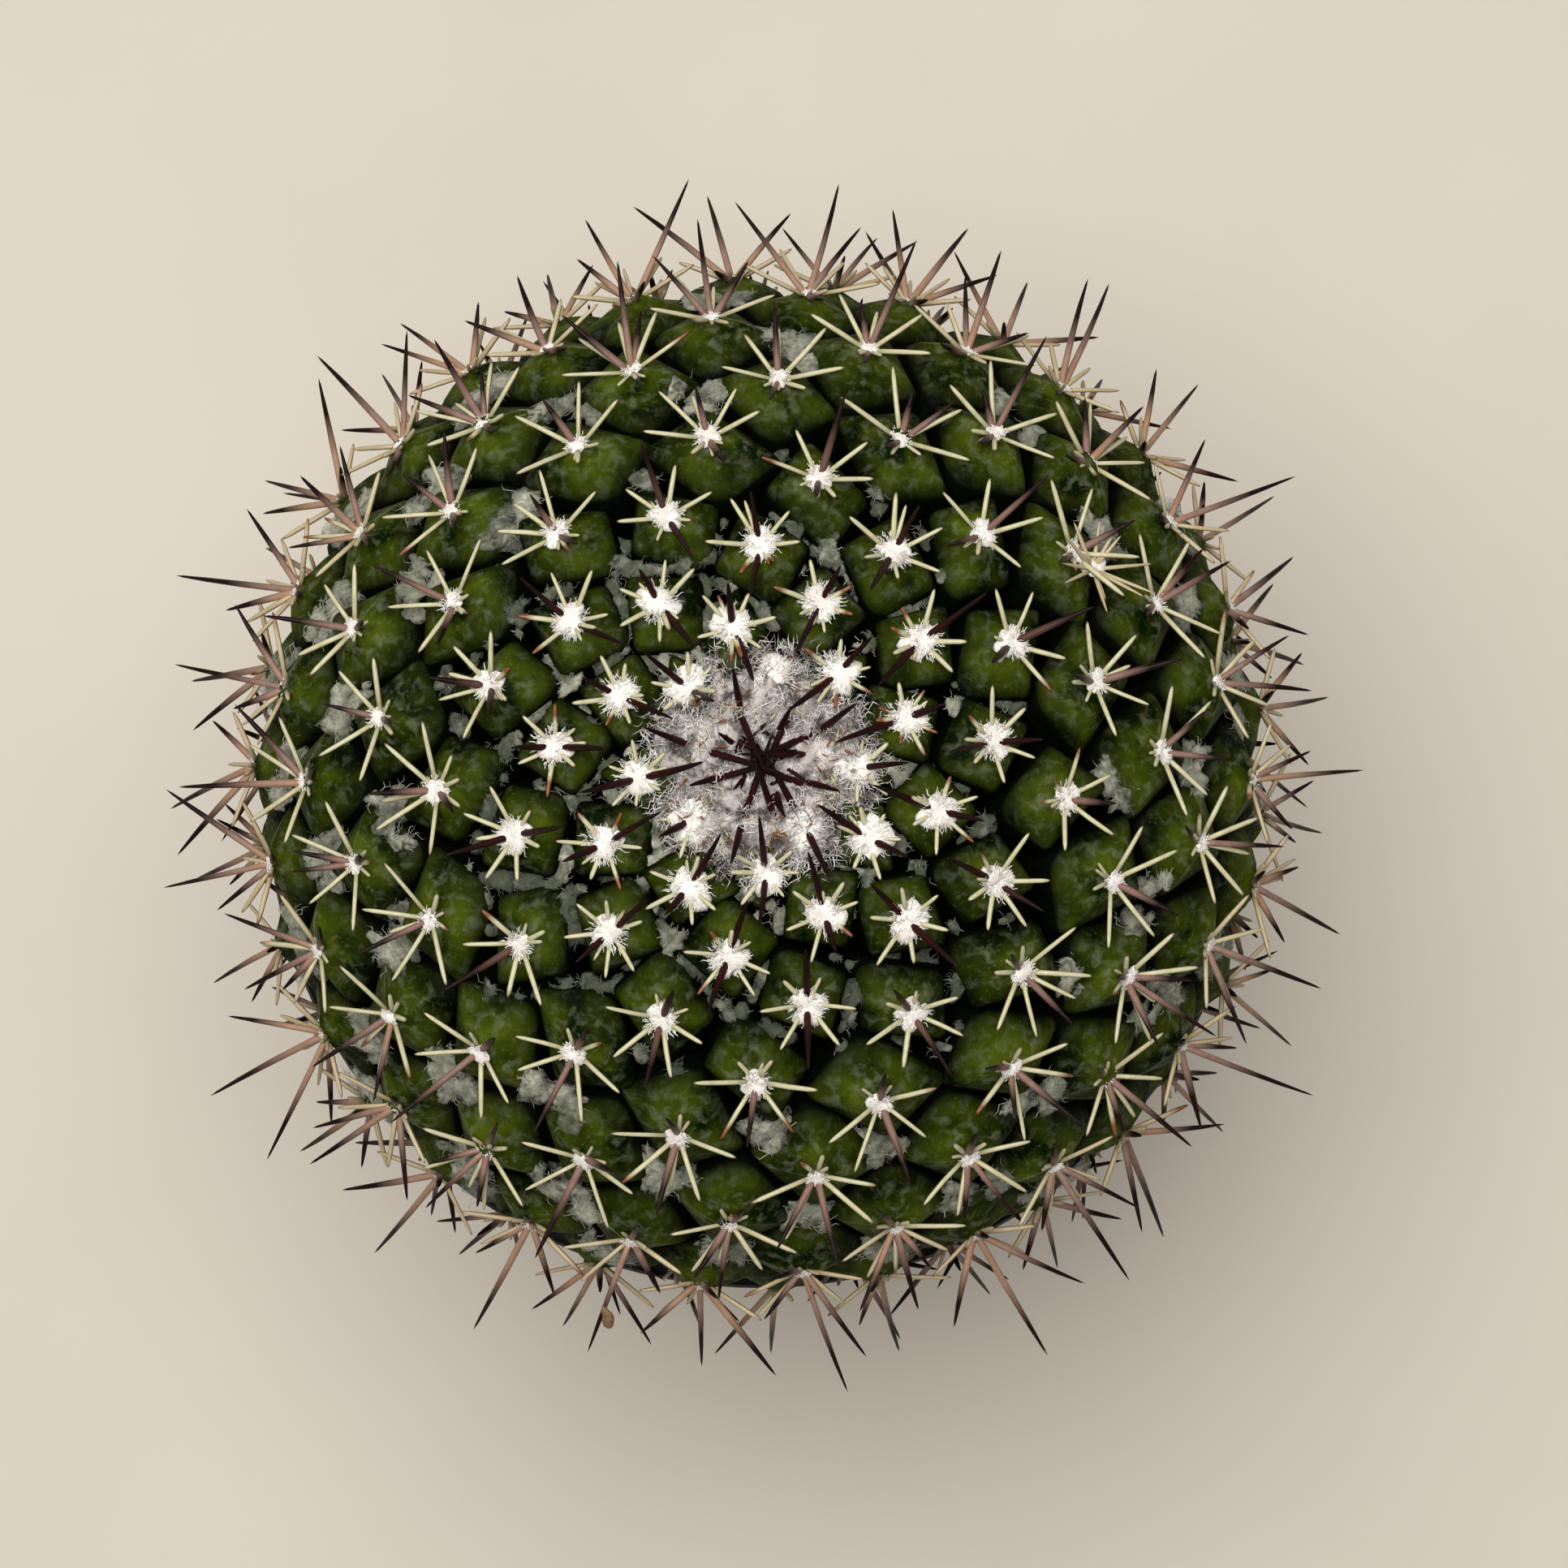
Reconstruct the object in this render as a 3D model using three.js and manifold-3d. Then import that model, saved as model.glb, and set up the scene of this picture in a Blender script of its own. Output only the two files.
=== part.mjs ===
// Mammillaria mystax in a round black nursery pot, in millimetres, +Z up.
// The origin is the centre of the pot's base, on the surface that it stands on.
// The cactus grows by one rule: areole number i turns the golden angle round the stem from
// the one before and lies a little further down a flattened globe. Tubercles, spines, the
// felt on the crown and the dish that the felt sits in are all worked out from that rule.
import * as THREE from "three";
import { ConvexGeometry } from "three/addons/geometries/ConvexGeometry.js";
import { mergeVertices } from "three/addons/utils/BufferGeometryUtils.js";
import Module from "manifold-3d";

// Driving dimensions of the pot
const POT_RIM_RADIUS = 50.8;
const POT_HEIGHT = 88;
const POT_BASE_RADIUS = 37;
const POT_WALL = 1.2;
const POT_FLOOR_LIFT = 2;
const POT_FLOOR_THICKNESS = 1.4;
const RIM_SKIRT_HEIGHT = 8;
const RIM_SKIRT_GAP = 1.3;
const FOOT_WIDTH = 3.2;
const CENTRE_PAD_RADIUS = 9;
const DRAIN_COUNT = 6;
const DRAIN_RADIUS = 3.6;
const DRAIN_CIRCLE_RADIUS = 21.5;
const FOOT_NOTCH_WIDTH = 9;
const POT_SEGMENTS = 48;

// Driving dimensions of the soil
const SOIL_LEVEL = 79;
const SOIL_RELIEF = 0.9;
const SOIL_SEGMENTS = 36;
const CLEARANCE = 0.3;

// Driving dimensions of the stem
const STEM_RADIUS = 50;
const STEM_HALF_HEIGHT = 40;
const STEM_EQUATOR = 105;
const CROWN_DIP = 2.5;
const CROWN_DIP_RADIUS = 8;
const CORE_SEGMENTS = 16;
const CORE_STEP = 20;

// The growth rule
const AREOLE_COUNT = 172;
const FIRST_AZIMUTH = THREE.MathUtils.degToRad(231);
const DIVERGENCE = THREE.MathUtils.degToRad(137.56);
const POLAR_STEP = THREE.MathUtils.degToRad(0.727);
const POLAR_SLOWING = THREE.MathUtils.degToRad(0.0004);
const SPIRAL_STEPS = [3, 5, 8, 13, 21, 34, 55];

// Tubercles: a full-grown one is this long, and a young one grows towards it
const TUBERCLE_LENGTH = 9.2;
const TUBERCLE_GROWTH = 27;
const TUBERCLE_TIP_SHARE = 0.5;
const TUBERCLE_BASE_SHARE = 1.5;
const TUBERCLE_DEPTH = 1.4;
const CORNER_REACH = 1.5;
const CORE_DEPTH = 1.15;
const TUBERCLE_RISE = 0.12;

// The stem's base below the last tubercles, as radius and height, down to its root tip
const STEM_BASE = [
  [31, 84.5],
  [25.5, SOIL_LEVEL],
  [19, 72],
  [11, 66],
  [4, 62.4],
  [0, 61.8],
];

// Felt on the growing point, in a dish of the stem
const FELT_RADIUS = 7.2;
const FELT_TOP = 144;
const FELT_BOTTOM = 139.4;
const FELT_SEGMENTS = 20;
const FELT_BUMPS = 0.35;
const SPINE_MEETING_HEIGHT = 2.2;
const FELT_AREOLES = 12;
const FELT_SPINE_CIRCLES = [5.4, 6.7];
const FELT_SPINE_DEPTH = 1.2;
const FIRST_TUBERCLE = 13;

// Spines
const RADIAL_SPINE_RADIUS = 0.42;
const RADIAL_SPINE_LENGTH = 6.4;
const RADIAL_LIFT = 18;
const CENTRAL_SPINE_RADIUS = 0.55;
const YOUNG_CENTRAL_LENGTH = 5.6;
const OLD_CENTRAL_LENGTH = 15;
const CENTRAL_LENGTHENING = 3;
const YOUNG_CENTRAL_SPREAD = 1.2;
const OLD_CENTRAL_SPREAD = 3.6;
const OLD_AREOLE = 110;
const INNER_CENTRAL_LENGTH = 7.4;
const INNER_CENTRAL_LIFT = 26;
const INNER_CENTRAL_LAST = 42;
const YOUNG_CENTRAL_LIFT = 52;
const OLD_CENTRAL_LIFT = 26;
const GROWN_AREOLE = 60;
const YOUNG_RADIAL_SHARE = 0.34;
const SPINE_ROOT_DEPTH = 1.2;
const RADIAL_ROOT_SPREAD = 0.9;
const CENTRAL_ROOT_SPREAD = 0.45;
const SPINE_CLEARANCE = 0.8;
const SPAN_SAMPLES = 10;
const BEND_STEPS = 14;
const BEND_STEP = 0.12;
const RADIAL_BEARINGS = [-90, -38, 38, 90];
const UNDERSIDE_BEARINGS = [-75, 75];
const UNDERSIDE_START = 120;
const HIDDEN_START = 138;
const RANDOM_SEED = 20261125;

const wasm = await Module();
wasm.setup();

/** Seeded series: each call of what it returns gives the next number between -size and size. */
function jitterSeries(seed) {
  let state = seed;
  return (size) => {
    state = (state + 0x6d2b79f5) | 0;
    let t = Math.imul(state ^ (state >>> 15), 1 | state);
    t = (t + Math.imul(t ^ (t >>> 7), 61 | t)) ^ t;
    const share = ((t ^ (t >>> 14)) >>> 0) / 4294967296;
    return (2 * share - 1) * size;
  };
}

/** Closed geometry as a solid that can be joined and cut. */
function solidOf(geometry) {
  const bare = geometry.clone();
  bare.deleteAttribute("normal");
  bare.deleteAttribute("uv");
  const merged = mergeVertices(bare, 1e-4);
  const mesh = new wasm.Mesh({
    numProp: 3,
    vertProperties: new Float32Array(merged.attributes.position.array),
    triVerts: new Uint32Array(merged.index.array),
  });
  return new wasm.Manifold(mesh);
}

/** Solid as a geometry for a mesh. */
function geometryOf(solid) {
  const mesh = solid.getMesh();
  const geometry = new THREE.BufferGeometry();
  geometry.setAttribute("position", new THREE.BufferAttribute(mesh.vertProperties, 3));
  geometry.setIndex(new THREE.BufferAttribute(mesh.triVerts, 1));
  geometry.computeVertexNormals();
  return geometry;
}

/** Joins many solids, two and two, until one is left. */
function fuse(solids) {
  let left = solids;
  while (left.length > 1) {
    const next = [];
    for (let i = 0; i < left.length; i += 2) {
      next.push(i + 1 < left.length ? left[i].add(left[i + 1]) : left[i]);
    }
    left = next;
  }
  return left[0];
}

/** Body of revolution about +Z from [radius, height] pairs that run anticlockwise in the r, z plane. */
function revolve(profile, segments) {
  const points = profile.map(([radius, height]) => new THREE.Vector2(radius, height));
  return new THREE.LatheGeometry(points, segments).rotateX(Math.PI / 2);
}

/** Named mesh with its own finish. */
function piece(name, geometry, color, roughness) {
  const material = new THREE.MeshStandardMaterial({ color, roughness, metalness: 0 });
  const mesh = new THREE.Mesh(geometry, material);
  mesh.name = name;
  return mesh;
}

/** Outer radius of the pot's tapered wall at a height. */
function potWallRadius(height) {
  const top = POT_RIM_RADIUS - POT_WALL - RIM_SKIRT_GAP;
  return THREE.MathUtils.mapLinear(height, 0, POT_HEIGHT, POT_BASE_RADIUS, top);
}

/** Nursery pot: tapered wall, rim turned down as a skirt, raised floor with drain holes, foot ring. */
function makePot() {
  const skirtInner = POT_RIM_RADIUS - POT_WALL;
  const floorTop = POT_FLOOR_LIFT + POT_FLOOR_THICKNESS;
  const inner = (height) => potWallRadius(height) - POT_WALL;
  const profile = [
    [0, 0],
    [CENTRE_PAD_RADIUS, 0],
    [CENTRE_PAD_RADIUS + 1, POT_FLOOR_LIFT],
    [POT_BASE_RADIUS - FOOT_WIDTH - 1, POT_FLOOR_LIFT],
    [POT_BASE_RADIUS - FOOT_WIDTH, 0],
    [POT_BASE_RADIUS - 0.8, 0],
    [potWallRadius(1.2), 1.2],
    [potWallRadius(POT_HEIGHT - POT_WALL), POT_HEIGHT - POT_WALL],
    [skirtInner, POT_HEIGHT - POT_WALL],
    [skirtInner, POT_HEIGHT - RIM_SKIRT_HEIGHT],
    [POT_RIM_RADIUS, POT_HEIGHT - RIM_SKIRT_HEIGHT],
    [POT_RIM_RADIUS, POT_HEIGHT - 0.8],
    [POT_RIM_RADIUS - 0.8, POT_HEIGHT],
    [inner(POT_HEIGHT) + 0.6, POT_HEIGHT],
    [inner(POT_HEIGHT - 0.6), POT_HEIGHT - 0.6],
    [inner(floorTop + 1.5), floorTop + 1.5],
    [inner(floorTop) - 1.5, floorTop],
    [0, floorTop],
  ];
  let pot = solidOf(revolve(profile, POT_SEGMENTS));
  for (let k = 0; k < DRAIN_COUNT; k++) {
    const angle = (k * 2 * Math.PI) / DRAIN_COUNT;
    const hole = new THREE.CylinderGeometry(DRAIN_RADIUS, DRAIN_RADIUS, 20, 12);
    hole.rotateX(Math.PI / 2);
    hole.translate(DRAIN_CIRCLE_RADIUS * Math.cos(angle), DRAIN_CIRCLE_RADIUS * Math.sin(angle), 0);
    pot = pot.subtract(solidOf(hole));
    const notch = new THREE.BoxGeometry(12, FOOT_NOTCH_WIDTH, 2 * POT_FLOOR_LIFT - 0.6);
    notch.translate(POT_BASE_RADIUS, 0, 0);
    notch.rotateZ(angle);
    pot = pot.subtract(solidOf(notch));
  }
  return piece("pot", geometryOf(pot), 0x17181a, 0.45);
}

/** Polar angle of areole i on the flattened globe, 0 at the growing point. */
function polarAngle(i) {
  return POLAR_STEP * i - POLAR_SLOWING * i * i;
}

/** Point of the globe that the areoles lie on, from its polar angle and azimuth. */
function globePoint(polar, azimuth) {
  const radius = STEM_RADIUS * Math.sin(polar);
  const dip = CROWN_DIP * Math.exp(-((radius / CROWN_DIP_RADIUS) ** 2));
  const height = STEM_EQUATOR + STEM_HALF_HEIGHT * Math.cos(polar) - dip;
  return new THREE.Vector3(radius * Math.cos(azimuth), radius * Math.sin(azimuth), height);
}

/** Length of the tubercle under areole i. */
function tubercleLength(i) {
  return TUBERCLE_LENGTH * (1 - Math.exp(-(i + 4) / TUBERCLE_GROWTH));
}

/** Areole i: its place, the axis of its tubercle, and the directions down the stem and round it. */
function areole(i) {
  const polar = polarAngle(i);
  const azimuth = FIRST_AZIMUTH + DIVERGENCE * i;
  const place = globePoint(polar, azimuth);
  const outward = new THREE.Vector3(
    (Math.sin(polar) / STEM_RADIUS) * Math.cos(azimuth),
    (Math.sin(polar) / STEM_RADIUS) * Math.sin(azimuth),
    Math.cos(polar) / STEM_HALF_HEIGHT,
  ).normalize();
  const axis = outward.clone();
  axis.z += TUBERCLE_RISE * Math.sin(polar);
  axis.normalize();
  const round = new THREE.Vector3(-Math.sin(azimuth), Math.cos(azimuth), 0);
  const down = round.clone().cross(axis).normalize();
  return { place, axis, round, down, length: tubercleLength(i) };
}

/** The two opposite spiral neighbours, as index steps, that press most on areole i. */
function spiralNeighbours(i) {
  const here = areole(i);
  const steps = SPIRAL_STEPS.map((step) => {
    const span = areole(i + step).place.sub(here.place);
    return { step, distance: span.length(), side: Math.sign(span.dot(here.round)) };
  });
  steps.sort((a, b) => a.distance - b.distance);
  const other = steps.find((entry) => entry.side !== steps[0].side);
  return [steps[0].step, other.step];
}

/** Corners of the four-sided cell between areole i and its spiral neighbours, in its own plane. */
function cellCorners(i) {
  const here = areole(i);
  const sides = [];
  for (const step of spiralNeighbours(i)) {
    const span = areole(i + step).place.sub(here.place);
    const across = new THREE.Vector2(span.dot(here.round), span.dot(here.down));
    sides.push(across.multiplyScalar(0.5));
  }
  const reach = (CORNER_REACH * (sides[0].length() + sides[1].length())) / 2;
  const corners = [];
  for (const [a, b] of [[1, 1], [1, -1], [-1, -1], [-1, 1]]) {
    const p = sides[0].clone().multiplyScalar(a);
    const q = sides[1].clone().multiplyScalar(b);
    const det = p.x * q.y - p.y * q.x;
    const x = (p.lengthSq() * q.y - q.lengthSq() * p.y) / det;
    const y = (q.lengthSq() * p.x - p.lengthSq() * q.x) / det;
    corners.push(new THREE.Vector2(x, y).clampLength(0, reach));
  }
  return corners;
}

/** Four-sided pyramid with its tip cut off under areole i, rooted in the core. */
function makeTubercle(i) {
  const here = areole(i);
  const at = (corner, share, depth) =>
    here.place
      .clone()
      .addScaledVector(here.round, corner.x * share)
      .addScaledVector(here.down, corner.y * share)
      .addScaledVector(here.axis, -depth);
  const points = [];
  for (const corner of cellCorners(i)) {
    points.push(at(corner, TUBERCLE_TIP_SHARE, 0));
    points.push(at(corner, TUBERCLE_BASE_SHARE, TUBERCLE_DEPTH * here.length));
  }
  return solidOf(new ConvexGeometry(points));
}

/** Whether a point is clear of the pot's rim and wall, of the soil and of the felt. */
function isClear(point) {
  const radius = Math.hypot(point.x, point.y);
  const wall = potWallRadius(point.z) - POT_WALL;
  const atRim = radius > wall - SPINE_CLEARANCE && radius < POT_RIM_RADIUS + SPINE_CLEARANCE;
  if (atRim && point.z < POT_HEIGHT + SPINE_CLEARANCE) return false;
  if (radius < POT_RIM_RADIUS && point.z < SOIL_LEVEL + SOIL_RELIEF + SPINE_CLEARANCE) return false;
  return radius > FELT_RADIUS + SPINE_CLEARANCE || point.z > FELT_TOP + SPINE_CLEARANCE;
}

/** Whether the straight line between two points is clear all the way. */
function isSpanClear(from, to) {
  for (let k = 0; k <= SPAN_SAMPLES; k++) {
    if (!isClear(from.clone().lerp(to, k / SPAN_SAMPLES))) return false;
  }
  return true;
}

/** Three-sided needle from a root inside the stem to its tip. */
function makeNeedle(root, tip, radius) {
  const span = tip.clone().sub(root);
  const length = span.length();
  const needle = new THREE.ConeGeometry(radius, length, 3, 1);
  needle.translate(0, length / 2, 0);
  const turn = new THREE.Quaternion().setFromUnitVectors(new THREE.Vector3(0, 1, 0), span.normalize());
  needle.applyQuaternion(turn);
  needle.translate(root.x, root.y, root.z);
  return solidOf(needle);
}

/** Direction of a spine: bearing from straight down the stem, lift from the areole's plane, in degrees. */
function spineDirection(here, bearing, lift) {
  const turn = THREE.MathUtils.degToRad(bearing);
  const rise = THREE.MathUtils.degToRad(lift);
  return new THREE.Vector3()
    .addScaledVector(here.down, Math.cos(turn) * Math.cos(rise))
    .addScaledVector(here.round, Math.sin(turn) * Math.cos(rise))
    .addScaledVector(here.axis, Math.sin(rise));
}

/** Spine at an areole, bent up until it is clear of what lies round the stem, or null where it can't be. */
function placeSpine(here, bearing, lift, length, radius, spread) {
  const root = here.place
    .clone()
    .addScaledVector(spineDirection(here, bearing, 0), spread)
    .addScaledVector(here.axis, -SPINE_ROOT_DEPTH);
  const direction = spineDirection(here, bearing, lift);
  for (let attempt = 0; attempt < BEND_STEPS; attempt++) {
    const tip = here.place.clone().addScaledVector(direction, length);
    if (isSpanClear(root, tip)) return makeNeedle(root, tip, radius);
    direction.z += BEND_STEP;
    direction.normalize();
  }
  return null;
}

/** Bearings of the radial spines of areole i, fewer where the stem turns under and hides them. */
function radialBearings(i) {
  if (i < UNDERSIDE_START) return RADIAL_BEARINGS;
  return i < HIDDEN_START ? UNDERSIDE_BEARINGS : [];
}

/** Spines of areole i: radials round it, one long central down the stem, and one up it while young. */
function makeSpines(i) {
  const here = areole(i);
  const jitter = jitterSeries(RANDOM_SEED + i);
  const age = THREE.MathUtils.clamp(i / OLD_AREOLE, 0, 1);
  const grown = THREE.MathUtils.lerp(YOUNG_RADIAL_SHARE, 1, Math.min(i / GROWN_AREOLE, 1));
  const spines = [];
  for (const bearing of radialBearings(i)) {
    const length = RADIAL_SPINE_LENGTH * grown + jitter(0.7);
    const turn = bearing + jitter(9);
    const lift = RADIAL_LIFT + jitter(5);
    spines.push(placeSpine(here, turn, lift, length, RADIAL_SPINE_RADIUS, RADIAL_ROOT_SPREAD));
  }
  const centralLength =
    THREE.MathUtils.lerp(YOUNG_CENTRAL_LENGTH, OLD_CENTRAL_LENGTH, age ** CENTRAL_LENGTHENING) +
    jitter(THREE.MathUtils.lerp(YOUNG_CENTRAL_SPREAD, OLD_CENTRAL_SPREAD, age));
  const centralLift = THREE.MathUtils.lerp(YOUNG_CENTRAL_LIFT, OLD_CENTRAL_LIFT, age) + jitter(6);
  spines.push(
    placeSpine(here, jitter(14), centralLift, centralLength, CENTRAL_SPINE_RADIUS, CENTRAL_ROOT_SPREAD),
  );
  if (i < INNER_CENTRAL_LAST) {
    const length = INNER_CENTRAL_LENGTH + jitter(1);
    const turn = 180 + jitter(10);
    const lift = INNER_CENTRAL_LIFT + jitter(6);
    spines.push(placeSpine(here, turn, lift, length, CENTRAL_SPINE_RADIUS, CENTRAL_ROOT_SPREAD));
  }
  return spines.filter((spine) => spine !== null);
}

/** Outline of the core under the furrows, as radius and height, from the crown to the root tip. */
function coreProfile() {
  const profile = [];
  for (let i = 0; i < AREOLE_COUNT; i += CORE_STEP) {
    const { place, axis, length } = areole(i);
    const inward = new THREE.Vector2(Math.hypot(axis.x, axis.y), axis.z).multiplyScalar(CORE_DEPTH * length);
    profile.push([Math.max(Math.hypot(place.x, place.y) - inward.x, 0), place.z - inward.y]);
  }
  profile[0][0] = 0;
  return [...profile, ...STEM_BASE];
}

/** Lower surface of the felt, as radius and height, moved out by a gap. */
function feltBowl(gap) {
  return [
    [0, FELT_BOTTOM - gap],
    [0.7 * FELT_RADIUS, FELT_BOTTOM + 0.4 - gap],
    [FELT_RADIUS + gap, FELT_BOTTOM + 2.2 - gap],
  ];
}

/** Cactus: core, tubercles and spines as one body, with a dish for the felt. */
function makeCactus() {
  const core = solidOf(revolve(coreProfile().reverse(), CORE_SEGMENTS));
  const tubercles = [];
  for (let i = FIRST_TUBERCLE; i < AREOLE_COUNT; i++) tubercles.push(makeTubercle(i));
  const dishTop = FELT_TOP + 10;
  const dish = solidOf(
    revolve([...feltBowl(CLEARANCE), [FELT_RADIUS + CLEARANCE, dishTop], [0, dishTop]], FELT_SEGMENTS),
  );
  const body = fuse([core, ...tubercles]).subtract(dish);
  const spines = [];
  for (let i = FIRST_TUBERCLE; i < AREOLE_COUNT; i++) spines.push(...makeSpines(i));
  const cactus = body.add(fuse(spines));
  return piece("cactus", geometryOf(cactus), 0x2e4a1f, 0.6);
}

/** Crown felt: a lumpy cushion with the youngest dark spines standing in it. */
function makeCrownWool() {
  const profile = [
    ...feltBowl(0),
    [FELT_RADIUS - 0.4, FELT_TOP - 1.1],
    [0.75 * FELT_RADIUS, FELT_TOP - 0.3],
    [0.4 * FELT_RADIUS, FELT_TOP],
    [0, FELT_TOP - 0.2],
  ];
  const cushion = revolve(profile, FELT_SEGMENTS);
  const at = cushion.attributes.position;
  for (let k = 0; k < at.count; k++) {
    const wave = Math.sin(5 * Math.atan2(at.getY(k), at.getX(k))) * Math.hypot(at.getX(k), at.getY(k));
    if (at.getZ(k) > FELT_TOP - 1) at.setZ(k, at.getZ(k) + (FELT_BUMPS * wave) / FELT_RADIUS);
  }
  const solids = [solidOf(cushion)];
  for (let i = 1; i < FELT_AREOLES; i++) {
    const here = areole(i);
    const jitter = jitterSeries(RANDOM_SEED + i);
    const outer = INNER_CENTRAL_LENGTH * (0.6 + (0.4 * i) / FELT_AREOLES);
    const outerTip = here.place.clone();
    outerTip.addScaledVector(spineDirection(here, jitter(15), YOUNG_CENTRAL_LIFT + jitter(8)), outer);
    const meeting = new THREE.Vector3(jitter(1), jitter(1), FELT_TOP + SPINE_MEETING_HEIGHT + jitter(1));
    const [near, far] = FELT_SPINE_CIRCLES;
    const foot = here.place.clone().setZ(0);
    foot.setLength(THREE.MathUtils.lerp(near, far, i / FELT_AREOLES)).setZ(FELT_TOP - FELT_SPINE_DEPTH);
    const innerTip = meeting.addScaledVector(meeting.clone().sub(foot), 0.25);
    const root = here.place.clone().setZ(Math.min(here.place.z, FELT_TOP - FELT_SPINE_DEPTH));
    solids.push(makeNeedle(root, outerTip, CENTRAL_SPINE_RADIUS));
    solids.push(makeNeedle(foot, innerTip, CENTRAL_SPINE_RADIUS));
  }
  return piece("crown_wool", geometryOf(fuse(solids)), 0xcfc9c4, 0.95);
}

/** Potting mix: fills the pot to under its rim, with a grainy top and a plain hole for the stem's base. */
function makeSoil() {
  const bottom = POT_FLOOR_LIFT + POT_FLOOR_THICKNESS + CLEARANCE;
  const side = (height) => potWallRadius(height) - POT_WALL - CLEARANCE;
  const hole = STEM_BASE.slice(2).map(([radius, height]) => [
    radius > 0 ? radius + CLEARANCE : 0,
    height - CLEARANCE,
  ]);
  const edge = STEM_BASE[1][0] + 2 * CLEARANCE;
  const topRings = [];
  const rings = 6;
  for (let k = 0; k <= rings; k++) {
    topRings.push([THREE.MathUtils.lerp(side(SOIL_LEVEL), edge, k / rings), SOIL_LEVEL]);
  }
  const profile = [
    [0, bottom],
    [side(bottom) - 2, bottom],
    [side(bottom + 2), bottom + 2],
    ...topRings,
    ...hole,
  ];
  const jitter = jitterSeries(RANDOM_SEED);
  const soil = revolve(profile, SOIL_SEGMENTS);
  const ringPoints = profile.length;
  const at = soil.attributes.position;
  for (let turn = 0; turn < SOIL_SEGMENTS; turn++) {
    for (let k = 4; k <= 2 + rings; k++) {
      const lift = jitter(SOIL_RELIEF);
      at.setZ(turn * ringPoints + k, SOIL_LEVEL + lift);
      if (turn === 0) at.setZ(SOIL_SEGMENTS * ringPoints + k, SOIL_LEVEL + lift);
    }
  }
  return piece("soil", geometryOf(solidOf(soil)), 0x3a2f26, 0.95);
}

const plant = new THREE.Group();
plant.name = "potted_mammillaria";
plant.add(makePot(), makeSoil(), makeCactus(), makeCrownWool());

export default plant;
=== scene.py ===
"""Mammillaria mystax in a round black nursery pot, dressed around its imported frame.

The scene is in metres, +Z up, with the origin at the centre of the pot's base. Sizes are named in
millimetres, and MM turns them to metres where they are named or used. The stem follows one growth rule:
areole i turns the golden angle round the stem from the one before and lies a little further down a
flattened globe. Tubercles, wool, spines and bristles all hang on that rule.
"""

from __future__ import annotations

import logging
import math
from collections.abc import Callable, Iterator, Sequence
from contextlib import contextmanager
from dataclasses import dataclass, field
from enum import Enum
from itertools import pairwise
from typing import Any

import bpy
import numpy as np
from mathutils import Matrix, Vector


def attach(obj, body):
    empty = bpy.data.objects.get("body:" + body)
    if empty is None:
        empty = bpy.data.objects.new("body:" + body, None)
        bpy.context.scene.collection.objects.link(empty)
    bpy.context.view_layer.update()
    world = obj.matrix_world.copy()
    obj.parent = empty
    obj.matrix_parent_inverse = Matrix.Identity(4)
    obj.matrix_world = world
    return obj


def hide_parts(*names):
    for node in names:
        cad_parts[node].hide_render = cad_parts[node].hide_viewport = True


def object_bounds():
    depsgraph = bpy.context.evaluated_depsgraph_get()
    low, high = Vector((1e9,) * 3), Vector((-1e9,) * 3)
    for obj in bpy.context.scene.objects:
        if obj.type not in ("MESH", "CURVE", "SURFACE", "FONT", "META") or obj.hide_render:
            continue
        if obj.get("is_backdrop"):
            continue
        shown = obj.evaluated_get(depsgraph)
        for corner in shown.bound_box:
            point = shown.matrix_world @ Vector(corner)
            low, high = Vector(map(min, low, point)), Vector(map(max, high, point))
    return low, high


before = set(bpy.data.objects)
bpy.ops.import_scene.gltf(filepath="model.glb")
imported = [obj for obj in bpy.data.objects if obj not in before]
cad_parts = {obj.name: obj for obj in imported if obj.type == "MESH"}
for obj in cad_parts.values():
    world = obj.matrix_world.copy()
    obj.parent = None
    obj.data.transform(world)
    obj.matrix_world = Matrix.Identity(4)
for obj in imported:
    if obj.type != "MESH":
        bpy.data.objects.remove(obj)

LOG = logging.getLogger("potted_mammillaria")
CAD_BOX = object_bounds()
MM = 0.001
BODY = "root"
SEED = 20261125
# Waves of an uneven surface: how many, the paces between which each is drawn, and what divides their sum.
WAVES = 7
WAVE_PACES = (0.7, 1.6)
WAVE_SUM = 3.2
# Two places of a template that lie nearer than this count as one.
NEAR = 1e-4
Array = np.ndarray
Pair = tuple[float, float]
Numbers = tuple[float, ...]
Pairs = Sequence[Pair]


def linear(code: str) -> tuple[float, float, float, float]:
    """Turns an sRGB hex colour to the linear colour that a shader socket takes.

    Args:
        code: Six hex digits with a leading hash.

    Returns:
        Linear red, green and blue with an alpha of 1.
    """
    channels = [int(code[k : k + 2], 16) / 255 for k in (1, 3, 5)]
    flat = [c / 12.92 if c <= 0.04045 else ((c + 0.055) / 1.055) ** 2.4 for c in channels]
    return flat[0], flat[1], flat[2], 1.0


def unit(vector: Array) -> Array:
    """Gives vectors the length 1, along their last axis."""
    return vector / np.linalg.norm(vector, axis=-1, keepdims=True)


class Series:
    """Seeded series (mulberry32) of the solids' spines, so that the fine spines stand where theirs do."""

    def __init__(self, seed: int) -> None:
        """Starts the series from a seed."""
        self.state = seed & 0xFFFFFFFF

    def __call__(self, size: float) -> float:
        """Next number of the series.

        Args:
            size: Largest size of the number.

        Returns:
            A number between -size and size.
        """
        low = 0xFFFFFFFF
        self.state = (self.state + 0x6D2B79F5) & low
        t = self.state
        t = ((t ^ (t >> 15)) * (1 | t)) & low
        t ^= (t + (((t ^ (t >> 7)) * (61 | t)) & low)) & low
        return (2 * ((t ^ (t >> 14)) & low) / 4294967296 - 1) * size


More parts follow.
